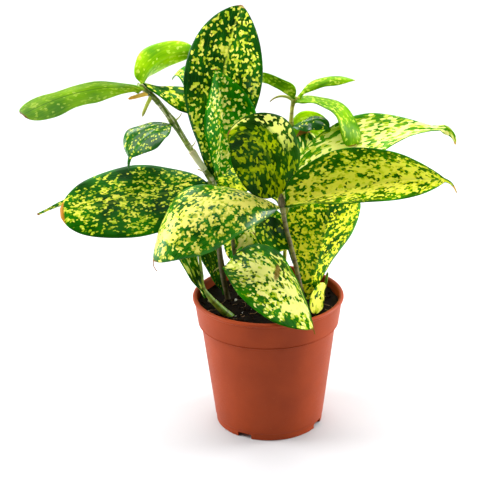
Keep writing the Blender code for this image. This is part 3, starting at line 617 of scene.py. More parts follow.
@dataclass(frozen=True)
class PotFinish:
    """Injection-moulded polypropylene, dyed terracotta: satin, a little cloudy, with rings and scuffs."""

    name: str = "terracotta_moulded_plastic"
    slot: str = "terracotta_plastic"
    colour: str = "#9E3F19"
    dark_colour: str = "#923916"
    scuff_colour: str = "#BE6E42"
    roughness: float = 0.48
    cloud_size: float = 28.0
    speck_size: float = 1.1
    scuff_stretch: tuple[float, float, float] = (260.0, 260.0, 1500.0)  # scuffs per metre
    mark_gap: float = 1.6

    def make(self) -> Material:
        """Make the material.

        Returns:
            The pot's material, which reads Object coordinates.
        """
        material, tree, shader = open_material(self.name, {"IOR": 1.49, "Specular IOR Level": 0.14})
        place = add_node(tree, "TexCoord").outputs["Object"]
        cloud = add_node(
            tree, "TexNoise", {"Scale": 1000 / self.cloud_size, "Detail": 3.0}, {"Vector": place}
        )
        speck = add_node(
            tree,
            "TexNoise",
            {"Scale": 1000 / self.speck_size, "Detail": 2.0, "Roughness": 0.6},
            {"Vector": place},
        )
        tone = add_node(tree, "MapRange", {1: 0.35, 2: 0.65}, {0: cloud})
        colours = {"data_type": "RGBA", 6: self.dark_colour, 7: self.colour}
        colour = add_node(tree, "Mix", colours, {0: tone}).outputs[2]
        # Handling leaves short pale scuffs round the wall, each a few millimetres long
        drawn = add_node(tree, "Mapping", {"Scale": self.scuff_stretch}, {0: place})
        scuff = add_node(
            tree, "TexNoise", {"Scale": 1.0, "Detail": 3.0, "Roughness": 0.7}, {"Vector": drawn}
        )
        scuffed = add_node(tree, "MapRange", {1: 0.66, 2: 0.74, 3: 0.0, 4: 0.35}, {0: scuff})
        colours = {"data_type": "RGBA", 7: self.scuff_colour}
        colour = add_node(tree, "Mix", colours, {0: scuffed, 6: colour}).outputs[2]
        dull = add_node(
            tree, "MapRange", {1: 0.3, 2: 0.7, 3: self.roughness - 0.05, 4: self.roughness + 0.08}, {0: speck}
        )
        # The mould's lathe marks are drawn coarser than the real tenth of a millimetre, so that they show
        marks = add_node(
            tree,
            "TexWave",
            {"bands_direction": "Z", "Scale": 314 / self.mark_gap, "Distortion": 0.6},
            {"Vector": place},
        ).outputs[1]
        relief = add_node(tree, "Math", {"operation": "MULTIPLY_ADD", 1: 0.35}, {0: marks, 2: speck})
        bump = add_node(tree, "Bump", {"Strength": 0.18, "Distance": 0.1 * MM}, {"Height": relief})
        feed(tree, shader, {"Base Color": colour, "Roughness": dull, "Normal": bump})
        return material


@dataclass(frozen=True)
class GrainFinish:
    """Loose grains and soil: rough, without gloss, with light and dark crumbs."""

    name: str
    slot: str
    dark_colour: str
    light_colour: str
    grain: float  # size of the crumbs that the pattern draws
    roughness: float = 0.9
    relief: float = 0.8

    def make(self) -> Material:
        """Make the material.

        Returns:
            The grains' material, which reads Object coordinates.
        """
        material, tree, shader = open_material(self.name, {"IOR": 1.4, "Specular IOR Level": 0.1})
        place = add_node(tree, "TexCoord").outputs["Object"]
        crumbs = add_node(
            tree, "TexNoise", {"Scale": 1000 / self.grain, "Detail": 5.0, "Roughness": 0.7}, {"Vector": place}
        )
        cells = add_node(
            tree, "TexVoronoi", {"Scale": 1000 / self.grain, "Randomness": 1.0}, {"Vector": place}
        )
        chance = add_node(tree, "SeparateColor", links={0: cells.outputs["Color"]})
        tone = add_node(tree, "Math", {"operation": "MULTIPLY_ADD", 1: 0.35}, {0: chance, 2: crumbs})
        tone = add_node(tree, "MapRange", {1: 0.45, 2: 0.95}, {0: tone})
        colours = {"data_type": "RGBA", 6: self.dark_colour, 7: self.light_colour}
        colour = add_node(tree, "Mix", colours, {0: tone}).outputs[2]
        dull = add_node(tree, "MapRange", {3: self.roughness - 0.15, 4: self.roughness + 0.1}, {0: crumbs})
        bump = add_node(tree, "Bump", {"Strength": self.relief, "Distance": 0.6 * MM}, {"Height": crumbs})
        feed(tree, shader, {"Base Color": colour, "Roughness": dull, "Normal": bump})
        return material


@dataclass(frozen=True)
class GroundFinish:
    """Plain pale studio floor: matt white."""

    name: str = "matt_white_studio_floor"
    colour: str = "#C4C4C6"

    def make(self) -> Material:
        """Make the material, a plain matt white."""
        settings = {"Base Color": linear_colour(self.colour), "Roughness": 0.9, "Specular IOR Level": 0.0}
        return open_material(self.name, settings)[0]


@dataclass
class NurseryPot:
    """The pot: rolled lip, flared collar, step, tapered wall, raised floor and notched foot ring."""

    height: float = 109.4
    rim_radius: float = 60.0
    lip_depth: float = 3.6
    collar_top_radius: float = 58.6
    collar_foot_radius: float = 56.2
    collar_foot_height: float = 87.5
    body_top_radius: float = 53.4
    body_top_height: float = 83.5
    base_radius: float = 42.9
    wall: float = 1.3
    foot_height: float = 4.6
    foot_wall: float = 2.2
    floor: float = 1.5
    step_inside: tuple[float, float] = (84.5, 89.5)
    sides: int = 144
    notch_angles: tuple[float, ...] = (-119.0, -27.0, 63.0, 153.0)
    notch_width: float = 12.0
    notch_height: float = 4.2
    drain_holes: int = 6
    drain_circle_radius: float = 27.0
    drain_radius: float = 4.5
    smooth_angle: float = 35.0  # the shell's rounded edges stay crisp above this
    finish: PotFinish = field(default_factory=PotFinish)

    def wall_inside(self, height: float) -> float:
        """Give the radius of the inner wall at a height.

        Args:
            height: millimetres above the ground.

        Returns:
            The radius in millimetres.
        """
        step_foot, step_top = self.step_inside
        knots = [
            (self.foot_height, self.base_radius + 0.6 - self.wall),
            (step_foot, self.body_top_radius - self.wall),
            (step_top, self.collar_foot_radius - self.wall),
            (self.height - self.lip_depth, self.collar_top_radius - self.wall),
        ]
        for (low, low_radius), (high, high_radius) in zip(knots, knots[1:]):
            if height <= high:
                share = max(0.0, (height - low) / (high - low))
                return low_radius + (high_radius - low_radius) * share
        return knots[-1][1]

    def profile(self) -> list[tuple[float, float]]:
        """Draw the wall's section, from the floor's middle over the lip and back under the floor.

        Returns:
            Radii and heights in millimetres.
        """
        lip = self.lip_depth / 2
        lip_radius, lip_height = self.rim_radius - lip, self.height - lip
        floor_top = self.foot_height + self.floor
        collar_top = self.height - self.lip_depth
        section = [(0.0, floor_top), (self.wall_inside(floor_top) - 1.4, floor_top)]
        section.append((self.wall_inside(floor_top) - 0.5, floor_top + 0.4))
        section.append((self.wall_inside(floor_top + 1.5), floor_top + 1.5))
        for height in (*self.step_inside, collar_top - 1.0):
            section.append((self.wall_inside(height), height))
        for step in range(15):
            angle = math.radians(178 - 254 * step / 14)
            section.append((lip_radius + lip * math.cos(angle), lip_height + lip * math.sin(angle)))
        section.append((self.collar_top_radius + 0.1, collar_top - 0.3))
        section.append((self.collar_top_radius - 0.1, collar_top - 1.2))

        # A fine groove parts the collar from its foot, and the step curves in below it
        collar, seam = self.collar_foot_radius, self.collar_foot_height
        section += [(collar + 0.05, seam + 0.8), (collar + 0.05, seam + 0.5)]
        section += [(collar - 0.7, seam + 0.2), (collar - 0.7, seam - 0.5), (collar - 0.2, seam - 0.9)]
        section += [(self.body_top_radius + 1.2, seam - 1.6), (self.body_top_radius + 0.3, seam - 2.4)]
        section.append((self.body_top_radius, self.body_top_height))

        # The wall curves in to the foot ring, which is open below the floor
        base, foot, inner = self.base_radius, self.foot_height, self.base_radius - self.foot_wall
        section += [(base + 1.0, foot + 2.2), (base + 0.8, foot + 1.4), (base + 0.35, foot + 0.9)]
        section += [(base + 0.1, 0.5), (base - 0.4, 0.0), (inner + 0.3, 0.0), (inner, 0.4)]
        section += [(inner, foot), (0.0, foot)]
        return section

    def build(self) -> Object:
        """Spin the section, cut the notches and drain holes, and dress the pot.

        Returns:
            The pot's object.
        """
        shell = spin_section(self.profile(), self.sides)
        pot = finish_mesh("pot_moulded_shell", shell, [self.finish.make()], self.smooth_angle)
        cutters = bpy.data.collections.new("pot_cutters")
        bpy.context.scene.collection.children.link(cutters)
        for cutter in (*self._notches(), *self._drains()):
            bpy.context.scene.collection.objects.unlink(cutter)
            cutters.objects.link(cutter)
        boolean = pot.modifiers.new("notches_and_drains", "BOOLEAN")
        boolean.operation = "DIFFERENCE"
        boolean.operand_type = "COLLECTION"
        boolean.collection = cutters
        boolean.solver = "EXACT"
        bpy.context.view_layer.update()
        cut = bpy.data.meshes.new_from_object(pot.evaluated_get(bpy.context.evaluated_depsgraph_get()))
        pot.modifiers.clear()
        pot.data = cut
        cut.shade_smooth()
        cut.set_sharp_from_angle(angle=math.radians(self.smooth_angle))
        for cutter in list(cutters.objects):
            bpy.data.objects.remove(cutter)
        bpy.data.collections.remove(cutters)
        declare(pot, "pot", self.finish.slot)
        return pot

    def _notches(self) -> list[Object]:
        """Make the round-topped blocks that cut the foot ring.

        Returns:
            One block for each notch.
        """
        blocks = []
        for angle in self.notch_angles:
            bm = bmesh.new()
            bmesh.ops.create_cube(bm, size=1.0)
            size = (3 * self.foot_wall, self.notch_width, 2 * self.notch_height)
            bmesh.ops.scale(bm, vec=size, verts=bm.verts)
            upright = [edge for edge in bm.edges if abs(edge.verts[0].co.x - edge.verts[1].co.x) > 1]
            top = [edge for edge in upright if edge.verts[0].co.z > 0]
            bmesh.ops.bevel(bm, geom=top, offset=1.2, segments=4, profile=0.5, affect="EDGES", material=-1)
            bmesh.ops.translate(bm, vec=(self.base_radius, 0, 0), verts=bm.verts)
            turn = Matrix.Rotation(math.radians(angle), 3, "Z")
            bmesh.ops.rotate(bm, cent=(0, 0, 0), matrix=turn, verts=bm.verts)
            blocks.append(finish_mesh("notch_cutter", bm, []))
        return blocks

    def _drains(self) -> list[Object]:
        """Make the rods that cut the floor's drain holes.

        Returns:
            One rod for each hole.
        """
        rods = []
        for hole in range(self.drain_holes):
            bm = bmesh.new()
            bmesh.ops.create_cone(
                bm,
                cap_ends=True,
                segments=36,
                radius1=self.drain_radius,
                radius2=self.drain_radius,
                depth=4 * self.floor,
            )
            bmesh.ops.translate(bm, vec=(self.drain_circle_radius, 0, self.foot_height), verts=bm.verts)
            turn = Matrix.Rotation(math.tau * (hole + 0.5) / self.drain_holes, 3, "Z")
            bmesh.ops.rotate(bm, cent=(0, 0, 0), matrix=turn, verts=bm.verts)
            rods.append(finish_mesh("drain_cutter", bm, []))
        return rods


def spin_section(section: list[tuple[float, float]], sides: int) -> BMesh:
    """Turn a section with poles at both ends into a closed shape.

    Args:
        section: radii and heights in millimetres.
        sides: faces round the axis.

    Returns:
        The shape, its faces outwards.
    """
    bm = bmesh.new()
    ring = [bm.verts.new((radius, 0.0, height)) for radius, height in section]
    edges = [bm.edges.new(pair) for pair in zip(ring, ring[1:])]
    bmesh.ops.spin(
        bm, geom=ring + edges, cent=(0, 0, 0), axis=(0, 0, 1), angle=math.tau, steps=sides, use_merge=True
    )
    bmesh.ops.remove_doubles(bm, verts=bm.verts, dist=0.001)
    close_shape(bm)
    return bm


@dataclass
class PottingSoil:
    """The soil: a lumpy bed that fills the pot to below its lip, with crumbs, perlite and fibres on it."""

    pot: NurseryPot
    level: float = 98.0
    heap: float = 1.5
    bank: float = 3.5  # how far watering has washed the soil up against the wall
    lump: float = 1.6
    lump_size: float = 11.0
    clods: tuple[tuple[float, float], ...] = ((0.9, 3.1), (0.35, 1.3))  # height and size of the finer lumps
    gap: float = 0.3
    sides: int = 120
    rings: int = 44
    crumbs: int = 330
    perlite_grains: int = 44
    perlite_patch: tuple[float, float, float] = (-16.0, -41.0, 8.0)  # a third of them lie here; its radius
    fibres: int = 34
    seed: int = 5
    bed: GrainFinish = GrainFinish("moist_peat_potting_soil", "potting_soil", "#040302", "#22170F", 2.2)
    crumb: GrainFinish = GrainFinish("peat_crumbs", "potting_soil", "#070503", "#33241A", 1.4)
    perlite: GrainFinish = GrainFinish(
        "perlite_grains", "potting_soil", "#B9B3A8", "#F1EFE9", 1.0, roughness=0.85, relief=0.6
    )
    fibre: SheathFinish = SheathFinish("dry_root_fibres", "#7A5A38", "#A98A5E", 0.75)

    def surface_height(self, x: float, y: float) -> float:
        """Give the height of the lumpy surface.

        Args:
            x: place to the right of the pot's axis.
            y: place behind the pot's axis.

        Returns:
            Height above the ground in millimetres.
        """
        edge = self.pot.wall_inside(self.level) - self.gap
        share = min(1.0, math.hypot(x, y) / edge)
        coarse = self.lump * noise.noise(Vector((x, y, 0.0)) / self.lump_size)
        (clod, clod_size), (bit, bit_size) = self.clods
        fine = clod * noise.noise(Vector((x, y, 7.0)) / clod_size)
        fine += bit * noise.noise(Vector((x, y, 3.0)) / bit_size)
        shape = self.heap * (1.0 - share**2) + self.bank * share**10
        return self.level + shape + coarse + fine * (1.0 - share**6)

    def build(self) -> list[Object]:
        """Build the bed and everything that lies on it.

        Returns:
            The pieces of the soil.
        """
        pieces = [self._bed()]
        pieces.append(self._grains("soil_crumbs", self.crumbs, (0.5, 1.7), self.crumb.make(), self.seed))
        white, patch = self.perlite.make(), self.perlite_patch
        pieces.append(self._grains("perlite", self.perlite_grains, (0.4, 1.5), white, self.seed + 1, patch))
        pieces.append(self._fibres())
        for piece in pieces:
            declare(piece, "soil", self.bed.slot)
        return pieces

    def _bed(self) -> Object:
        """Spin the bed inside the pot's wall and raise its lumps.

        Returns:
            The bed.
        """
        floor = self.pot.foot_height + self.pot.floor + self.gap
        edge = self.pot.wall_inside(self.level) - self.gap
        section = [(0.0, floor), (self.pot.wall_inside(floor) - 1.5, floor)]
        section.append((self.pot.wall_inside(floor + 2.5) - self.gap, floor + 2.5))
        for height in self.pot.step_inside:
            section.append((self.pot.wall_inside(height) - self.gap, height))
        for ring in range(self.rings + 1):
            section.append((edge * (1.0 - ring / self.rings), self.level))
        bm = spin_section(section, self.sides)
        for vert in bm.verts:
            if vert.co.z > self.level - 0.1:
                vert.co.z = self.surface_height(vert.co.x, vert.co.y)
        return finish_mesh("soil_bed", bm, [self.bed.make()], smooth_angle=60)

    def _grains(
        self,
        name: str,
        count: int,
        sizes: tuple[float, float],
        material: Material,
        seed: int,
        patch: tuple[float, float, float] | None = None,
    ) -> Object:
        """Scatter small uneven grains, half sunk in the bed.

        Args:
            name: name of the piece.
            count: how many grains there are.
            sizes: least and greatest radius of a grain.
            material: the grains' material.
            seed: start of the random numbers.
            patch: place and radius of a patch where a third of the grains lie.

        Returns:
            One piece with all the grains.
        """
        dice = random.Random(seed)
        reach = self.pot.wall_inside(self.level) - 2.5
        bm = bmesh.new()
        for number in range(count):
            distance, turn = reach * math.sqrt(dice.random()), dice.uniform(0, math.tau)
            x, y = distance * math.cos(turn), distance * math.sin(turn)
            if patch and number % 3 == 0:
                x, y = patch[0] + x / reach * patch[2], patch[1] + y / reach * patch[2]
            radius = sizes[0] + (sizes[1] - sizes[0]) * dice.random() ** 2
            made = bmesh.ops.create_icosphere(bm, subdivisions=1, radius=radius)["verts"]
            for vert in made:
                vert.co *= 1.0 + 0.35 * noise.noise(vert.co * 0.9 + Vector((x, y, 0.0)))
            stretches = [dice.uniform(*limits) for limits in ((0.8, 1.3), (0.7, 1.1), (0.55, 0.9))]
            squash = Matrix.Diagonal(stretches)
            spin = Euler([dice.uniform(0, math.tau) for _ in range(3)]).to_matrix()
            bmesh.ops.transform(bm, matrix=(spin @ squash).to_4x4(), verts=made)
            height = self.surface_height(x, y) + 0.25 * radius
            bmesh.ops.translate(bm, vec=(x, y, height), verts=made)
        return finish_mesh(name, bm, [material], smooth_angle=60)

    def _fibres(self) -> Object:
        """Lay thin bent root fibres over the bed.

        Returns:
            One piece with all the fibres.
        """
        dice = random.Random(self.seed + 2)
        reach = self.pot.wall_inside(self.level) - 6
        bm = bmesh.new()
        for _ in range(self.fibres):
            distance, turn = reach * math.sqrt(dice.random()), dice.uniform(0, math.tau)
            x, y = distance * math.cos(turn), distance * math.sin(turn)
            way, bend = dice.uniform(0, math.tau), dice.uniform(-0.35, 0.35)
            line = []
            for _ in range(dice.randint(5, 11)):
                if math.hypot(x, y) < reach + 3:
                    line.append(Vector((x, y, self.surface_height(x, y) + dice.uniform(0.1, 0.7))))
                x, y, way = x + 1.3 * math.cos(way), y + 1.3 * math.sin(way), way + bend
            radius = dice.uniform(0.12, 0.3)
            if len(line) > 3:
                wrap_tube(bm, line, self._even_radius(radius), sides=5)
        close_shape(bm)
        return finish_mesh("root_fibres", bm, [self.fibre.make()])

    @staticmethod
    def _even_radius(radius: float) -> Callable[[int, float], float]:
        """Give one radius all along a fibre.

        Args:
            radius: the fibre's radius.

        Returns:
            A function from a row and an angle to that radius.
        """

        def fibre_radius(row: int, angle: float) -> float:
            """Give the same radius at every row and angle."""
            return radius

        return fibre_radius


@dataclass(frozen=True)
class Wisp:
    """A sheath tip or bud that grows from a stem."""

    height: float
    azimuth: float
    rise: float
    droop: float
    length: float
    radius: float
    kind: WispKind = WispKind.SHEATH


@dataclass
class Stem:
    """A stem along a smooth path, with swollen rings where leaves grow, and its wisps and buds."""

    name: str
    path: list[tuple[float, float, float]]
    radius: float
    rings: list[tuple[float, float]] = field(default_factory=list)
    wisps: list[Wisp] = field(default_factory=list)
    sheaths: list[tuple[float, float]] = field(default_factory=list)  # heights a papery sheath still wraps
    foot_radius: float = 0.0
    foot_reach: float = 30.0
    finish: BarkFinish = BarkFinish("olive_bark", "woody_stem")
    sides: int = 16
    ring_reach: float = 5.0
    soil_level: float = 98.0
    knob: float = 0.12  # how far the bark is uneven
    scar: float = 0.16  # how far an old leaf scar stands out
    tip_taper: float = 0.45

    def radius_at(self, height: float) -> float:
        """Give the stem's radius at a height, with its rings and its thick foot.

        Args:
            height: height above the ground.

        Returns:
            The radius in millimetres.
        """
        radius = self.radius
        if self.foot_radius:
            rise = (height - self.soil_level) / self.foot_reach
            radius += (self.foot_radius - self.radius) * min(1.0, max(0.0, 1.0 - rise))
        for ring_height, ring_radius in self.rings:
            swell = math.exp(-(((height - ring_height) / self.ring_reach) ** 2))
            radius = max(radius, self.radius + (ring_radius - self.radius) * swell)
        return radius

    def centre_at(self, height: float) -> Vector:
        """Give the point of the centre line at a height.

        Args:
            height: height above the ground.

        Returns:
            The point in millimetres.
        """
        line = smooth_line(self.path)
        for low, high in zip(line, line[1:]):
            if low.z <= height <= high.z:
                return low.lerp(high, (height - low.z) / (high.z - low.z))
        return line[-1].copy()

    def build(self, skins: dict[WispKind, Material]) -> Object:
        """Build the stem with its wisps and buds as one piece.

        Args:
            skins: material of each kind of wisp.

        Returns:
            The stem's object.
        """
        bm = bmesh.new()
        line = smooth_line(self.path, 14)
        last = len(line) - 1

        def bark_radius(row: int, angle: float) -> float:
            """Give the radius of the bark.

            Args:
                row: number of a point of the centre line.
                angle: angle round the stem in radians.

            Returns:
                The radius in millimetres.
            """
            point = line[row]
            knobs = noise.noise(Vector((math.cos(angle), math.sin(angle), point.z / 4))) * self.knob
            scar = self.scar * max(0.0, math.cos(point.z * math.tau / self.finish.ring_gap)) ** 24
            taper = 1.0 - self.tip_taper * max(0.0, (row - last + 3) / 3)
            return (self.radius_at(point.z) + knobs + scar) * taper

        wrap_tube(bm, line, bark_radius, self.sides)
        kinds = list(WispKind)
        for wisp in self.wisps:
            self._wisp(bm, wisp, kinds.index(wisp.kind) + 1)
        for low, high in self.sheaths:
            self._clasp(bm, low, high, kinds.index(WispKind.CLASPING) + 1)
        close_shape(bm)
        piece = finish_mesh(self.name + "_bark", bm, [self.finish.make(), *(skins[kind] for kind in kinds)])
        declare(piece, self.name, self.finish.slot)
        return piece

    def _clasp(self, bm: BMesh, low: float, high: float, material_index: int) -> None:
        """Wrap a papery sheath round the stem, loose at its upper end.

        Args:
            bm: bmesh of the stem.
            low: height of its lower end.
            high: height of its upper end.
            material_index: its material slot.
        """
        steps = 12
        line = [self.centre_at(low + (high - low) * step / steps) for step in range(steps + 1)]

        def sheath_radius(row: int, angle: float) -> float:
            """Give the radius of the sheath.

            Args:
                row: number of a point of the centre line.
                angle: angle round the stem in radians.

            Returns:
                The radius in millimetres.
            """
            uneven = noise.noise(Vector((math.cos(angle), math.sin(angle), row / 4)))
            loose = 0.15 + 0.5 * row / steps + 0.35 * uneven
            return self.radius_at(line[row].z) + loose

        wrap_tube(bm, line, sheath_radius, sides=14, material_index=material_index)

    def _wisp(self, bm: BMesh, wisp: Wisp, material_index: int) -> None:
        """Grow one tapering wisp or bud from the centre line.

        Args:
            bm: bmesh of the stem.
            wisp: the wisp.
            material_index: its material slot.
        """
        steps = 14
        line = [self.centre_at(wisp.height)]
        turn = math.radians(wisp.azimuth)
        for step in range(steps):
            climb = math.radians(wisp.rise - wisp.droop * (step + 0.5) / steps)
            level = math.cos(climb)
            ahead = Vector((level * math.cos(turn), level * math.sin(turn), math.sin(climb)))
            line.append(line[-1] + ahead * wisp.length / steps)

        def wisp_radius(row: int, angle: float) -> float:
            """Give the radius of the wisp: flat for a sheath tip, plump for a bud.

            Args:
                row: number of a point of the wisp's line.
                angle: angle round the wisp in radians.

            Returns:
                The radius in millimetres.
            """
            along = row / steps
            if wisp.kind is WispKind.SHEATH:
                return wisp.radius * (1.0 - 0.75 * along) * (1.0 + 0.25 * math.cos(2 * angle))
            plump = 1.0 - 0.35 * along - 0.4 * max(0.0, (along - 0.75) / 0.25) ** 2
            return wisp.radius * plump * (1.0 + 0.06 * math.cos(3 * angle + 4 * along))

        wrap_tube(bm, line, wisp_radius, sides=10, material_index=material_index)


@dataclass
class Leaf:
    """A leaf by the way it grows: where it starts, how it climbs, bends, turns and folds."""

    name: str
    stem: str
    height: float  # height on its stem
    azimuth: float  # direction it starts in, from +X towards +Y
    rise: float  # angle above level at its start
    droop: float  # how far that angle falls by its tip
    sweep: float  # how far its direction turns sideways by its tip
    length: float
    width: float
    finish: LeafFinish
    roll: float = 0.0  # turn of the blade about its midrib at its start
    twist: float = 0.0  # further turn by its tip
    late: float = 1.0  # over 1 bends near the tip, under 1 near the stalk
    peak: float = 0.5  # where the blade is widest
    full: float = 1.6  # under 1.6 is rounder, over it more pointed
    fold: float = 8.0  # angle of each half at the midrib
    cup: float = 0.0  # further angle by the edge
    wave: float = 1.2  # height of the edge's waves
    phase: float = 0.0
    tip_width: float = 1.2
    tail: float = 0.0  # length of the thin dripping tip
    hook: float = 60.0  # how far the tail turns down
    tail_turn: float = 0.0  # how far the tail's first third turns about itself
    stalk_width: float = 2.8
    thickness: float = 0.55
    stalk_thickness: float = 1.5
    seat: float = 0.4
    cad_thickness: float = 0.8
    edge_waves: float = 2.0
    rows: int = 60
    columns: int = 18
    groove: float = 0.45  # depth of the channel along the midrib
    groove_width: float = 1.6
    buckle: float = 0.55  # height of the soft buckles of the blade
    buckle_size: tuple[float, float] = (9.0, 13.0)  # across and along the blade
    stalk_reach: float = 3.0  # the stalk stays full this far
    fade_reach: float = 14.0  # and thins to the blade over this far

    def start(self, stem: Stem) -> Vector:
        """Find the point beside its stem where the leaf starts.

        Args:
            stem: the stem that carries the leaf.

        Returns:
            The point in millimetres.
        """
        roll, turn = math.radians(self.roll), math.radians(self.azimuth)
        depth = (self.stalk_width * abs(math.sin(roll)) + self.cad_thickness * abs(math.cos(roll))) / 2
        reach = stem.radius_at(self.height) + self.seat + depth * abs(math.sin(math.radians(self.rise)))
        foot = min(self.height, stem.path[-1][2] - 1.0)
        along_stem = (stem.centre_at(foot + 1.0) - stem.centre_at(foot)).normalized()
        outward = Vector((math.cos(turn), math.sin(turn), 0.0))
        outward = (outward - along_stem * outward.dot(along_stem)).normalized()
        return stem.centre_at(self.height) + reach * outward

    def spine(self, stem: Stem) -> Callable[[float], tuple[Vector, Vector, Vector]]:
        """Lay the midrib out from the stem.

        Args:
            stem: the stem that carries the leaf.

        Returns:
            A function from a share of the length to the midrib's point and its two axes.
        """
        steps = 96
        total = self.length + self.tail
        points = [self.start(stem)]
        turns, climbs = [], []
        for step in range(steps + 1):
            along = step / steps * total / self.length
            bend = min(along, 1.0) ** self.late
            turns.append(math.radians(self.azimuth + self.sweep * bend))
            climb = self.rise - self.droop * bend
            if along > 1.0:
                climb -= self.hook * (along - 1.0) * self.length / self.tail
            climbs.append(math.radians(climb))
        for step in range(steps):
            climb = (climbs[step] + climbs[step + 1]) / 2
            turn = (turns[step] + turns[step + 1]) / 2
            points.append(points[-1] + heading(climb, turn) * total / steps)

        def frame_at(along: float) -> tuple[Vector, Vector, Vector]:
            """Give the midrib's point and axes.

            Args:
                along: share of the length, under 0 in the stem and over 1 in the tail.

            Returns:
                The point, the way across the blade and the way out of its face.
            """
            place = min(max(along, 0.0) * self.length / total, 1.0) * steps
            low = min(int(place), steps - 1)
            share = place - low
            turn = turns[low] + (turns[low + 1] - turns[low]) * share
            climb = climbs[low] + (climbs[low + 1] - climbs[low]) * share
            tail_share = max(0.0, along - 1.0) * self.length / max(self.tail, 1.0)
            turned = self.twist * min(max(along, 0.0), 1.0) + self.tail_turn * min(1.0, 3.0 * tail_share)
            roll = math.radians(self.roll + turned)
            ahead = heading(climb, turn)
            side = Vector((-math.sin(turn), math.cos(turn), 0.0))
            face = ahead.cross(side)
            across = side * math.cos(roll) + face * math.sin(roll)
            out = face * math.cos(roll) - side * math.sin(roll)
            back = ahead * min(along, 0.0) * self.length
            return points[low].lerp(points[low + 1], share) + back, across, out

        return frame_at

    def half_width(self, along: float) -> float:
        """Give half the width at a share of the length: stalk, blade and tip.

        Args:
            along: share of the length, over 1 in the tail.

        Returns:
            Half the width in millimetres.
        """
        if along >= 1.0:
            tail_share = (along - 1.0) * self.length / max(self.tail, 1.0)
            return self.tip_width / 2 + (0.5 - self.tip_width / 2) * min(1.0, tail_share)
        inside = max(along, 0.0)
        near, far = self.full * self.peak, self.full * (1.0 - self.peak)
        shape = (inside / self.peak) ** near * ((1.0 - inside) / (1.0 - self.peak)) ** far
        stalk = self.stalk_width / 2 * (1.0 if along < 0.5 else 0.0)
        return max(self.width / 2 * shape, stalk, self.tip_width / 2)

    def half_section(self, across: float) -> tuple[float, float]:
        """Lay out one folded and cupped half.

        Args:
            across: share of the way from the midrib to the edge.

        Returns:
            How far out and how far up the point lies, in shares of the half width.
        """
        out, up, steps = 0.0, 0.0, 12
        for step in range(steps):
            share = (step + 0.5) / steps * across
            angle = math.radians(self.fold + self.cup * share)
            out += math.cos(angle) * across / steps
            up += math.sin(angle) * across / steps
        return out, up

    def build(self, stem: Stem, number: int, material: Material) -> Object:
        """Build the blade with its stalk: a grid along the midrib, folded, cupped, waved and thickened.

        Args:
            stem: the stem that carries the leaf.
            number: place of the leaf in the plant, which shifts its pattern.
            material: the leaf's material.

        Returns:
            The leaf's object.
        """
        tail_rows = 8 if self.tail else 0
        root_rows = 2
        rows = root_rows + self.rows + tail_rows
        root = (stem.radius_at(self.height) * 0.5 + self.seat) / self.length
        frame_at = self.spine(stem)
        bm = bmesh.new()
        bmesh.ops.create_grid(bm, x_segments=self.columns, y_segments=rows, size=1.0)
        spread = {}
        for vert in bm.verts:
            row = round((vert.co.y + 1) / 2 * rows) - root_rows
            if row < 0:
                along = row / root_rows * root
            elif row <= self.rows:
                along = row / self.rows
            else:
                along = 1.0 + self.tail / self.length * (row - self.rows) / tail_rows
            spread[vert] = (vert.co.x, along)
        for vert, (aside, along) in spread.items():
            vert.co = self._place(frame_at, aside, along, number)
        uv_mm, uv_share = bm.loops.layers.uv.new(UV_MM), bm.loops.layers.uv.new(UV_SHARE)
        for face in bm.faces:
            for loop in face.loops:
                aside, along = spread[loop.vert]
                across = aside * self.half_width(along)
                shift = (PATTERN_SHIFT[0] * (number + 1), PATTERN_SHIFT[1] * number)
                loop[uv_mm].uv = (across + shift[0], along * self.length + shift[1])
                loop[uv_share].uv = (aside, along)
        weights = [self._fullness(spread[vert][1]) for vert in bm.verts]
        piece = finish_mesh(self.name.replace("leaf_", "leaf_blade_"), bm, [material], smooth_angle=180)
        group = piece.vertex_groups.new(name="fullness")
        for place, weight in enumerate(weights):
            group.add([place], weight, "REPLACE")
        thicken = piece.modifiers.new("thickness", "SOLIDIFY")
        thicken.thickness = self.stalk_thickness * MM
        thicken.offset = 0.0
        thicken.vertex_group = group.name
        thicken.use_even_offset = False
        declare(piece, self.name, self.finish.slot)
        return piece

    def _place(
        self,
        frame_at: Callable[[float], tuple[Vector, Vector, Vector]],
        aside: float,
        along: float,
        number: int,
    ) -> Vector:
        """Place one point of the blade's middle sheet.

        Args:
            frame_at: the midrib's point and axes at a share of the length.
            aside: share of the way from the midrib to an edge, minus on the right.
            along: share of the length.
            number: place of the leaf in the plant.

        Returns:
            The point in millimetres.
        """
        side = math.copysign(1.0, aside)
        width = self.half_width(along)
        out, up = self.half_section(abs(aside))
        middle, across, face = frame_at(along)
        swell = math.sin(math.pi * along) ** 0.5 if 0.0 < along < 1.0 else 0.0
        turns = math.tau * (self.edge_waves * along + self.phase + 0.18 * side)
        ripple = self.wave * swell * aside**2 * math.sin(turns)
        distance = abs(aside) * width
        ripple -= self.groove * swell * math.exp(-((distance / self.groove_width) ** 2))
        wide, long = self.buckle_size
        buckle = noise.noise(Vector((aside * width / wide, along * self.length / long, number * 3.7)))
        ripple += self.buckle * swell * min(1.0, distance / 8) * buckle
        return middle + across * (side * width * out) + face * (width * up + ripple)

    def _fullness(self, along: float) -> float:
        """Give the share of the stalk's thickness that the leaf has here.

        Args:
            along: share of the length.

        Returns:
            One in the stalk, falling to the blade's thickness.
        """
        thin = self.thickness / self.stalk_thickness
        fade = min(1.0, max(0.0, (along * self.length - self.stalk_reach) / self.fade_reach))
        return 1.0 + (thin - 1.0) * fade * fade * (3 - 2 * fade)


def heading(climb: float, turn: float) -> Vector:
    """Give the direction that climbs and turns by these angles.

    Args:
        climb: angle above level in radians.
        turn: angle from +X towards +Y in radians.

    Returns:
        A vector of length one.
    """
    return Vector((math.cos(climb) * math.cos(turn), math.cos(climb) * math.sin(turn), math.sin(climb)))


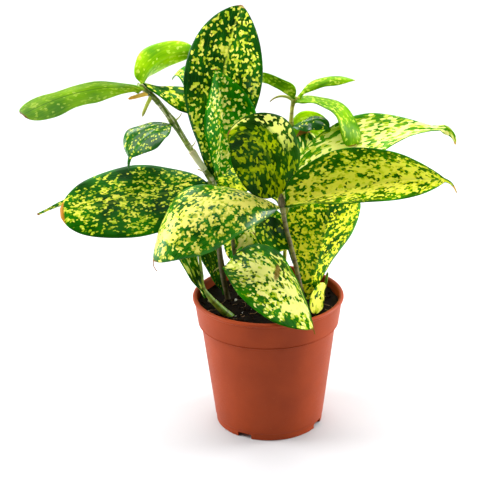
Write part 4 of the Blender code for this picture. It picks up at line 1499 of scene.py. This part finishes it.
# Bark that is still green, with papery sheath clinging to it, shows streaky and light
YOUNG_BARK = BarkFinish(
    "green_olive_bark", "woody_stem", "#4A6A10", "#7E9430", "#B9B47E", scar_colour="#3C3A12",
    low_brown=0.35, remains=0.06,
)
# Bark near a growing tip and the skin of a shoot are smooth and yellow-green
TIP_BARK = BarkFinish(
    "yellow_green_bark", "woody_stem", "#7C8420", "#B4B03C", "#D4D088", scar_colour="#6A5A1A"
)
GREEN_SHOOT_BARK = BarkFinish(
    "green_shoot_skin", "green_shoot", "#5E8C10", "#9CB82A", "#C2CE6A", ring_gap=14.0, roughness=0.42
)

DARK = "dark_spotted_leaf"
PALE = "pale_spotted_leaf"
LIME = "lime_young_leaf"
CENTRED, FAINT = DustPattern.CENTRED, DustPattern.FAINT

# Old leaves: deep green with the dust all over, and those with more wax have more gloss
DARK_DUSTED = LeafFinish("dark_dusted_leaf", DARK)
TALL_BACK = LeafFinish(
    "deep_green_dusted_leaf", DARK, coverage=0.27, cell=1.6, blotch=3.4, single=0.35, stretch=1.15,
    deep_green="#043000", bright_green="#1C7200", gloss=0.35, wax=0.15, roughness=0.22,
    midrib="#C9D24A", midrib_strength=0.4,
)
TALL_FRONT = LeafFinish(
    "bright_green_dusted_leaf", DARK, deep_green="#0A6200", bright_green="#2E9A06", coverage=0.28, cell=1.6,
    blotch=3.4, single=0.35, stretch=1.1, dust="#FAFA90",
)
# The arching leaf: olive dust on dull dark green, its greens and dust darker than the leaf's own as painted
# shade, and one half paler towards the tip as a painted highlight
ARCHING_SHADE_DARKENED = LeafFinish(
    "olive_blotched_leaf_painted_shade", DARK, dust="#A8B800", dust_edge="#6E8C00", deep_green="#082E00",
    bright_green="#235C00", coverage=0.42, blotch=4.6, stretch=2.0, painted_light_side=0.025, painted_light_from=0.45,
)
LEFT_BROAD = LeafFinish(
    "drawn_out_dusted_leaf", DARK, CENTRED, coverage=0.2, centre_gain=0.07, centre_reach=0.9, cell=1.0,
    stretch=1.7, blotch=3.8, deep_green="#043400", bright_green="#1E7000", dust="#E2E052",
    dust_edge="#A4BC14", dry_from=0.973, dry_colour="#A8701C",
)
BLOTCHED = LeafFinish(
    "yellow_blotched_leaf", DARK, coverage=0.5, cell=1.5, blotch=4.0, stretch=1.0, dust="#F8F644",
    dust_edge="#CCD808", deep_green="#0C4A00", bright_green="#449600",
)
# Leaves that grew in the light: the dust merges to cream or yellow along the midrib
CREAM_CENTRE = LeafFinish(
    "cream_centred_leaf", PALE, CENTRED, dust="#E6E06A", dust_edge="#B0BA22", gloss=0.3,
    coverage=0.32, centre_gain=0.14, centre_reach=0.75, blotch=4.8, cell=1.5, stretch=1.3,
)
PALE_CREAM = LeafFinish(
    "pale_cream_leaf", PALE, CENTRED, coverage=0.35, centre_gain=0.18, centre_reach=0.8, stretch=1.8,
    blotch=5.0, dust="#F6F490", crease=(0.3, 0.52), dry_colour="#7A5A20",
)
YELLOW_CENTRE = LeafFinish(
    "yellow_centred_leaf", PALE, CENTRED, coverage=0.34, centre_gain=0.17, centre_reach=0.85, stretch=1.5,
    dust="#F6F25A", dust_edge="#CCD614", blotch=4.6, streaks=0.02, deep_green="#144C00",
    bright_green="#3A8C00", dry_from=1.06, dry_colour="#D9B45A",
)
CREAM_DASHED = LeafFinish(
    "cream_leaf_with_green_dashes", PALE, CENTRED, coverage=0.6, centre_gain=0.04, centre_reach=1.0,
    stretch=2.6, dust="#F7F796", streaks=0.04, margin=0.03, deep_green="#2E7800", bright_green="#66AA1C",
    dry_from=1.115, dry_colour="#CFA650", blotch=3.6,
)
# Small and inner leaves: fine dust on shaded green
STREAKED = LeafFinish(
    "cream_streaked_leaf", DARK, coverage=0.42, stretch=3.0, streaks=0.06, dry_from=0.93, dust="#EDF08A"
)
FINE_DUSTED = LeafFinish(
    "finely_dusted_leaf", DARK, coverage=0.024, blotch=3.0, single=0.6, dust="#DDE55A", cell=0.9,
    gloss=0.4, wax=0.12, roughness=0.22, dry_from=1.2, deep_green="#0C4408", bright_green="#2E7A1A",
)
INNER_DUSTED = LeafFinish(
    "sparsely_dusted_leaf", DARK, coverage=0.08, blotch=3.0, single=0.5, dust="#C8D23A",
    deep_green="#052C00", bright_green="#1C6400",
)
# Young leaves: thin lime tissue that lets light through, with only a few faint dots
LIME_BACK = LeafFinish(
    "lime_young_leaf_darker_skin", LIME, FAINT, deep_green="#3C7800", bright_green="#84B800",
    dust="#E6EE58", dust_edge="#A8CC20", coverage=0.17, single=0.5, midrib="#8CC030", roughness=0.34,
    vein_gap=1.1,
)
# The left lime leaf: its dark, strong midrib line is painted shade of a fold that the blade's shape does not
# have
LIME_PAINTED_FOLD_SHADE = LeafFinish(
    "lime_young_leaf_painted_fold_shade", LIME, FAINT, deep_green="#569800", bright_green="#A0D000",
    dust="#E6F06A", dust_edge="#BEDC2C", coverage=0.1, single=0.5, midrib="#3E7A00",
    midrib_strength=0.75, roughness=0.34, vein_gap=1.1, gloss=0.4,
)
LIME_LEAF = LeafFinish(
    "lime_young_leaf_skin", LIME, FAINT, deep_green="#569800", bright_green="#A8D400", dust="#E6F06A",
    dust_edge="#BEDC2C", coverage=0.1, single=0.5, midrib="#B4DE4A", roughness=0.34, vein_gap=1.1,
)
PALE_SPROUT = LeafFinish(
    "pale_yellow_sprout_leaf", PALE, CENTRED, coverage=0.7, centre_gain=0.1, centre_reach=1.0, stretch=3.0
)


STEMS: list[Stem] = [
    Stem(
        name="stem_centre",
        path=[
            (31, 2, 80), (29.5, 1.5, 95), (24.5, 0, 120), (21, -2, 138), (17, -4, 155), (14, -6, 168),
            (11, -8, 187), (10, -8.5, 196),
        ],
        radius=1.8,
        rings=[(187, 3)],
    ),
    Stem(
        name="stem_left",
        finish=YOUNG_BARK,
        sheaths=[(209.0, 228.0)],
        path=[
            (-30.5, 14.5, 80), (-31.5, 13.5, 95), (-35.5, 12, 119), (-38.5, 10, 147), (-40.5, 9, 175),
            (-42.5, 8, 199), (-46, 8, 207), (-58.5, 7, 228), (-70.5, 7, 249), (-83, 7, 267),
            (-93.5, 6, 278), (-94.5, 6, 280),
        ],
        radius=2.2,
        rings=[(128, 2.6), (199, 3.2), (250, 3), (279, 2.4)],
        wisps=[
            Wisp(height=128, azimuth=180, rise=-20, droop=30, length=9, radius=0.6),
            Wisp(height=207, azimuth=170, rise=40, droop=30, length=9, radius=0.9),
            Wisp(height=229, azimuth=10, rise=20, droop=-60, length=8, radius=0.6),
            Wisp(height=250, azimuth=20, rise=15, droop=-50, length=10, radius=0.7),
            Wisp(height=252, azimuth=175, rise=70, droop=60, length=8, radius=0.6),
            Wisp(height=273, azimuth=200, rise=-10, droop=0, length=17, radius=1.9, kind=WispKind.ORANGE_BUD),
            Wisp(height=271, azimuth=225, rise=-50, droop=10, length=18, radius=1.7, kind=WispKind.OLIVE_BUD),
        ],
    ),
    Stem(
        name="stem_back",
        finish=TIP_BARK,
        path=[
            (11.5, 36, 80), (13, 37, 95), (16, 39, 150), (18, 41, 190), (20.5, 44, 239), (22, 45, 252),
            (24, 45, 258),
        ],
        radius=1.6,
        rings=[(160, 2), (197, 2.8), (222, 2.1), (235, 2.1), (257, 2.2)],
        wisps=[
            Wisp(height=254, azimuth=175, rise=45, droop=100, length=22, radius=1.3),
            Wisp(height=250, azimuth=-20, rise=65, droop=0, length=8, radius=0.9),
        ],
    ),
    Stem(
        name="stem_inner",
        path=[(-21, 19, 80), (-22.5, 19.5, 95), (-26.5, 22, 139), (-28, 23, 155), (-29, 24, 174)],
        radius=1.5,
        rings=[(140, 1.9), (172, 2.8)],
    ),
    Stem(
        name="shoot_left",
        path=[
            (-25.5, -15, 83), (-29, -17, 95), (-36.5, -19, 104), (-45, -20, 114), (-50.5, -21, 124),
            (-51.5, -21, 136), (-53, -20, 150), (-54, -19, 162),
        ],
        radius=1.1,
        foot_radius=3.4,
        finish=GREEN_SHOOT_BARK,
    ),
    Stem(
        name="shoot_right",
        path=[(44, 15.5, 83), (44.5, 16.5, 95), (46.5, 18, 106), (48.5, 18, 119)],
        radius=1.1,
        finish=GREEN_SHOOT_BARK,
    ),
]

LEAVES: list[Leaf] = [
    # Leaves of the tall left stem, from its foot to its lime tip
    Leaf(
        name="leaf_tall_back", finish=TALL_BACK, stem="stem_left", height=199,
        azimuth=50, rise=85, droop=25, sweep=-10, length=138, width=61,
        roll=55, twist=-25, late=2, peak=0.6, full=1.9, fold=10, cup=5,
        wave=1.6, phase=0.1, tip_width=1.6,
    ),
    Leaf(
        name="leaf_tall_front", finish=TALL_FRONT, stem="stem_left", height=202,
        azimuth=5, rise=70, droop=-35, sweep=10, length=88, width=50,
        roll=120, twist=-20, late=0.8, full=2.2, fold=25,
        phase=0.4,
    ),
    Leaf(
        name="leaf_left_broad", finish=LEFT_BROAD, stem="stem_left", height=198.5,
        azimuth=-155, rise=0, droop=15, sweep=-35, length=118, width=61,
        roll=-35, twist=-15, late=1.9, full=1, fold=0, cup=-15,
        wave=1.4, phase=0.6, tip_width=8,
    ),
    Leaf(
        name="leaf_left_hidden", finish=DARK_DUSTED, stem="stem_left", height=195,
        azimuth=165, rise=10, droop=35, sweep=20, length=141, width=25,
        roll=-5, twist=45, late=0.8, peak=0.4, full=1.9, fold=5, cup=5,
        wave=0.8, phase=0.3, tip_width=4,
    ),
    Leaf(
        name="leaf_behind_tall", finish=DARK_DUSTED, stem="stem_left", height=203,
        azimuth=95, rise=80, droop=135, sweep=50, length=120, width=28,
        roll=20, twist=-50, late=2.3, peak=0.55, fold=10,
        wave=1, phase=0.1,
    ),
    Leaf(
        name="leaf_left_hanging", finish=FINE_DUSTED, stem="stem_left", height=249.5,
        azimuth=-140, rise=15, droop=70, sweep=15, length=49, width=33,
        roll=-5, twist=-10, full=1.7, fold=10, cup=-35,
        wave=1, phase=0.2, tip_width=3, tail=9, hook=50,
    ),
    Leaf(
        name="leaf_low_over_rim", finish=PALE_CREAM, stem="stem_left", height=128,
        azimuth=-45, rise=15, droop=55, sweep=-15, length=112, width=56,
        roll=35, twist=45, late=1.3, peak=0.55, fold=15, cup=35,
        wave=1.4, phase=0.7, tip_width=1.6, tail=4.0, hook=40,
    ),
    Leaf(
        name="leaf_sucker_left", finish=FINE_DUSTED, stem="stem_left", height=104,
        azimuth=135, rise=70, droop=10, sweep=25, length=62, width=26,
        roll=-10, twist=30, late=0.7, peak=0.6, fold=5, cup=-15,
        wave=0.8, phase=0.5,
    ),
    Leaf(
        name="leaf_lime_left", finish=LIME_PAINTED_FOLD_SHADE, stem="stem_left", height=278,
        azimuth=-140, rise=35, droop=65, sweep=-45, length=94, width=32,
        roll=45, twist=5, late=0.5, peak=0.65, full=1, fold=0, cup=-30,
        phase=0.3, tip_width=7,
    ),
    Leaf(
        name="leaf_lime_upright", finish=LIME_LEAF, stem="stem_left", height=279,
        azimuth=70, rise=35, droop=35, sweep=-70, length=55, width=30,
        roll=-90, twist=-5, late=1.2, peak=0.45, full=0.8, fold=20, cup=45,
        wave=1, phase=0.6, tip_width=1.4,
    ),
    Leaf(
        name="leaf_spotted_top", finish=DARK_DUSTED, stem="stem_left", height=278,
        azimuth=20, rise=-25, droop=-15, sweep=-25, length=74, width=25,
        twist=80, late=2, peak=0.45, full=0.8, fold=5, cup=-35,
        wave=0.8, phase=0.2, tip_width=1.4,
    ),
    # Leaves of the middle stem
    Leaf(
        name="leaf_centre_arching", finish=ARCHING_SHADE_DARKENED, stem="stem_centre", height=195.5,
        azimuth=-135, rise=80, droop=80, sweep=0, length=88, width=56,
        roll=85, twist=-30, late=1.7, peak=0.4, full=1.1, fold=5, cup=-5,
        wave=1.6, phase=0.2, tip_width=2,
    ),
    Leaf(
        name="leaf_front_drooping", finish=CREAM_CENTRE, stem="stem_centre", height=186,
        azimuth=-135, rise=30, droop=110, sweep=-65, length=132, width=64,
        roll=-35, late=1.5, peak=0.6, full=1.5, fold=-5, cup=-40,
        wave=1.6, phase=0.3, tip_width=1.4, tail=9,
    ),
    Leaf(
        name="leaf_right_broad", finish=YELLOW_CENTRE, stem="stem_centre", height=185,
        azimuth=-5, rise=20, droop=10, sweep=-50, length=135, width=67,
        roll=34, twist=46, late=1.5, peak=0.45, full=1, fold=35, cup=30,
        wave=1.8, phase=0.2, tip_width=4, tail=14, hook=80,
    ),
    Leaf(
        name="leaf_right_upper", finish=CREAM_DASHED, stem="stem_centre", height=193,
        azimuth=50, rise=35, droop=33, sweep=-60, length=142, width=45,
        roll=55, twist=-45, late=0.8, peak=0.55, full=2.3, fold=5, cup=20,
        wave=1.6, phase=0.8, tip_width=9, tail=19, hook=95, tail_turn=80,
    ),
    Leaf(
        name="leaf_centre_narrow", finish=STREAKED, stem="stem_centre", height=189,
        azimuth=50, rise=28, droop=-30, sweep=75, length=70, width=35,
        roll=-15, twist=-10, late=2, peak=0.6, full=2, fold=-5, cup=-45,
        wave=1.4, phase=0.1, tip_width=4,
    ),
    Leaf(
        name="leaf_right_standing", finish=BLOTCHED, stem="stem_centre", height=103,
        azimuth=15, rise=76, droop=-5, sweep=-75, length=98, width=63,
        roll=-85, twist=45, late=1.5, peak=0.65, full=1.6, fold=20, cup=5,
        wave=1.6, phase=0.5, tip_width=1.6,
    ),
    Leaf(
        name="leaf_inner_short", finish=INNER_DUSTED, stem="stem_centre", height=150,
        azimuth=-175, rise=40, droop=-20, sweep=60, length=48, width=26,
        roll=-55, twist=-75, late=0.8, peak=0.35, full=2.2, fold=-5,
        wave=0.8, phase=0.4,
    ),
    Leaf(
        name="leaf_rear_left", finish=DARK_DUSTED, stem="stem_centre", height=188,
        azimuth=125, rise=45, droop=115, sweep=0, length=90, width=40,
        roll=-5, twist=-5, late=2, full=2, fold=5, cup=-10,
        phase=0.2,
    ),
    # Leaves of the back stem
    Leaf(
        name="leaf_small_nodding", finish=FINE_DUSTED, stem="stem_back", height=234,
        azimuth=-30, rise=30, droop=100, sweep=0, length=34, width=17,
        roll=35, late=2.5, full=1.2, fold=-20, cup=-20,
        wave=0.8, phase=0.3,
    ),
    Leaf(
        name="leaf_lime_back_round", finish=LIME_LEAF, stem="stem_back", height=222,
        azimuth=30, rise=45, droop=50, sweep=-10, length=34, width=30,
        roll=40, twist=5, late=0.8, full=1.7, fold=5,
        wave=0.6, phase=0.2,
    ),
    Leaf(
        name="leaf_lime_back_left", finish=LIME_BACK, stem="stem_back", height=256.5,
        azimuth=-125, rise=35, droop=10, sweep=-75, length=54, width=20,
        roll=5, twist=60, late=1.1, peak=0.35, full=2.2, fold=35, cup=-10,
        wave=0.8, phase=0.7,
    ),
    Leaf(
        name="leaf_lime_back_arching", finish=LIME_BACK, stem="stem_back", height=255,
        azimuth=-5, rise=10, droop=95, sweep=-75, length=67, width=27,
        roll=10, twist=-40, late=1.3, peak=0.6, full=0.8, fold=5, cup=-10,
        wave=1, phase=0.1, tip_width=5,
    ),
    Leaf(
        name="leaf_lime_back_small", finish=LIME_BACK, stem="stem_back", height=257.5,
        azimuth=20, rise=55, droop=75, sweep=-15, length=50, width=14,
        roll=40, twist=-30, late=0.8, peak=0.6, full=2, fold=-5, cup=-45,
        wave=0.6, phase=0.5,
    ),
    Leaf(
        name="leaf_rear_centre", finish=TALL_BACK, stem="stem_back", height=197,
        azimuth=20, rise=40, droop=115, sweep=75, length=89, width=46,
        twist=-30, late=1.8, full=1.9, fold=15, cup=-10,
        phase=0.5,
    ),
    Leaf(
        name="leaf_rear_upper", finish=BLOTCHED, stem="stem_back", height=199,
        azimuth=105, rise=40, droop=95, sweep=-5, length=97, width=46,
        roll=5, twist=30, full=1.3, fold=10, cup=-45,
        phase=0.8,
    ),
    Leaf(
        name="leaf_rear_right", finish=DARK_DUSTED, stem="stem_back", height=158,
        azimuth=150, rise=-30, droop=25, sweep=15, length=66, width=44,
        roll=-80, late=1.2, full=1.4, fold=5,
        phase=0.7,
    ),
    # Leaves of the inner stem
    Leaf(
        name="leaf_inner_pale", finish=PALE_CREAM, stem="stem_inner", height=140,
        azimuth=-35, rise=45, droop=-10, sweep=-60, length=51, width=34,
        roll=-55, twist=-40, late=1.2, peak=0.55, full=2.2, fold=5, cup=-30,
        wave=0.8, phase=0.6,
    ),
    Leaf(
        name="leaf_inner_dark", finish=INNER_DUSTED, stem="stem_inner", height=102,
        azimuth=15, rise=55, droop=-35, sweep=30, length=76, width=40,
        roll=-15, twist=5, late=0.8, peak=0.45, full=2.1, fold=-5, cup=-30,
        wave=0.8, phase=0.9,
    ),
    Leaf(
        name="leaf_rear_low_left", finish=DARK_DUSTED, stem="stem_inner", height=170,
        azimuth=155, rise=15, droop=60, sweep=-45, length=91, width=45,
        twist=40, late=1.1, full=1.4, fold=15, cup=25,
        phase=0.1,
    ),
    Leaf(
        name="leaf_rear_low", finish=BLOTCHED, stem="stem_inner", height=173,
        azimuth=80, rise=40, droop=80, sweep=-10, length=80, width=54,
        late=1.5, peak=0.6, full=1.9, fold=10,
        phase=0.4,
    ),
    # Leaf of the young left shoot
    Leaf(
        name="leaf_young_left", finish=STREAKED, stem="shoot_left", height=118,
        azimuth=-175, rise=65, droop=-5, sweep=-30, length=55, width=24,
        roll=10, twist=-40, late=0.5, full=2.2, fold=20, cup=-20,
        wave=1,
    ),
    # Leaf of the right sprout
    Leaf(
        name="leaf_sprout_pale", finish=PALE_SPROUT, stem="shoot_right", height=107,
        azimuth=-105, rise=20, droop=50, sweep=0, length=44, width=14,
        roll=-90, twist=75, late=0.8, peak=0.55, full=1.2, fold=5, cup=-25,
        wave=0.6, phase=0.4,
    ),
]


@dataclass(frozen=True)
class Softbox:
    """One white softbox: where it hangs, what it faces, its width and height, and its power in watts."""

    name: str
    place: tuple[float, float, float]
    aim: tuple[float, float, float]
    size: tuple[float, float]
    power: float

    def build(self) -> None:
        """Hang the softbox."""
        light = bpy.data.lights.new(self.name, "AREA")
        light.shape = "RECTANGLE"
        light.size, light.size_y = self.size[0] * MM, self.size[1] * MM
        light.energy = self.power
        holder = bpy.data.objects.new(self.name, light)
        place = Vector(self.place)
        holder.location = (place + POT_AXIS) * MM
        holder.rotation_euler = (Vector(self.aim) - place).to_track_quat("-Z", "Y").to_euler()
        bpy.context.scene.collection.objects.link(holder)


PLANT_MIDDLE = (0.0, 0.0, 170.0)
SOFTBOXES = [
    Softbox("left_softbox", (-900.0, 80.0, 420.0), PLANT_MIDDLE, (500.0, 750.0), 12.5),
    Softbox("right_softbox", (950.0, 200.0, 330.0), PLANT_MIDDLE, (450.0, 600.0), 15.0),
    Softbox("overhead_softbox", (-150.0, -150.0, 1500.0), PLANT_MIDDLE, (1500.0, 1200.0), 22.0),
    Softbox("front_softbox", (-100.0, -1000.0, 1400.0), PLANT_MIDDLE, (800.0, 500.0), 1.0),
    Softbox("backdrop_softbox", (0.0, 2600.0, 2600.0), (0.0, 2600.0, 0.0), (4500.0, 2500.0), 200.0),
]


@dataclass
class Studio:
    """The photograph's set: a plain white floor, large soft lights and the camera."""

    distance: float = 1000.0
    camera_side: float = -21.6
    camera_height: float = 548.6
    pitch: float = 21.49
    roll: float = -1.0
    focal_length: float = 103.05
    film_width: float = 36.0
    floor_size: float = 9000.0
    world_strength: float = 0.4
    front_strength: float = 0.12
    ground: GroundFinish = field(default_factory=GroundFinish)

    def build(self) -> None:
        """Build the floor, the lights and the camera."""
        self._floor()
        self._world()
        for softbox in SOFTBOXES:
            softbox.build()
        self._camera()

    def _floor(self) -> None:
        """Lay the floor: one wide sheet, its far edge beyond the view."""
        bm = bmesh.new()
        bmesh.ops.create_grid(bm, x_segments=6, y_segments=6, size=self.floor_size / 2)
        floor = finish_mesh("studio_floor", bm, [self.ground.make()])

    def _world(self) -> None:
        """Light the room softly, with less light from the camera's side, where the photograph has none."""
        world = bpy.data.worlds.new("studio_room")
        world.use_nodes = True
        tree = world.node_tree
        way = add_node(tree, "TexCoord").outputs["Generated"]
        depth = add_node(tree, "SeparateXYZ", links={0: way}).outputs[1]
        limits = {1: -0.9, 2: 0.6, 3: self.front_strength, 4: self.world_strength}
        light = add_node(tree, "MapRange", limits, {0: depth})
        backdrop = tree.nodes["Background"]
        backdrop.inputs["Color"].default_value = linear_colour("#FFFFFF")
        feed(tree, backdrop, {"Strength": light})
        bpy.context.scene.world = world
        bpy.context.scene.view_settings.view_transform = "Standard"

    def _camera(self) -> None:
        """Stand the camera where the photograph was taken from."""
        lens = bpy.data.cameras.new("camera")
        lens.sensor_fit = "HORIZONTAL"
        lens.sensor_width = self.film_width
        lens.lens = self.focal_length
        lens.clip_end = 30.0
        holder = bpy.data.objects.new("camera", lens)
        place = Vector((self.camera_side, -self.distance, self.camera_height)) + POT_AXIS
        tilt = Matrix.Rotation(math.radians(90.0 - self.pitch), 4, "X")
        roll = Matrix.Rotation(math.radians(self.roll), 4, "Z")
        holder.matrix_world = Matrix.Translation(place * MM) @ tilt @ roll
        bpy.context.scene.collection.objects.link(holder)
        bpy.context.scene.camera = holder


@dataclass
class Dracaena:
    """The plant: its stems and its leaves."""

    stems: list[Stem]
    leaves: list[Leaf]

    def build(self) -> None:
        """Build every stem and every leaf."""
        skins = {
            WispKind.SHEATH: SheathFinish("papery_sheath", "#BCC066", "#A88C42", 0.7).make(),
            WispKind.ORANGE_BUD: SheathFinish("orange_bud_scale", "#FFD050", "#F0A020", 0.45).make(),
            WispKind.CLASPING: SheathFinish("clasping_papery_sheath", "#D6D8AE", "#B9AE7C", 0.6).make(),
            WispKind.OLIVE_BUD: SheathFinish("olive_bud_scale", "#B8C848", "#8C8A30", 0.45).make(),
        }
        for stem in self.stems:
            stem.build(skins)
        materials = {}
        by_name = {stem.name: stem for stem in self.stems}
        for number, leaf in enumerate(self.leaves):
            if leaf.finish.name not in materials:
                materials[leaf.finish.name] = leaf.finish.make()
            leaf.build(by_name[leaf.stem], number, materials[leaf.finish.name])


def main() -> None:
    """Build the studio, the pot, the soil and the plant."""
    logging.basicConfig(level=logging.INFO, format="%(name)s: %(message)s")
    Studio().build()
    pot = NurseryPot()
    pot.build()
    PottingSoil(pot).build()
    Dracaena(STEMS, LEAVES).build()
    bpy.context.view_layer.update()


if __name__ == "__main__":
    main()
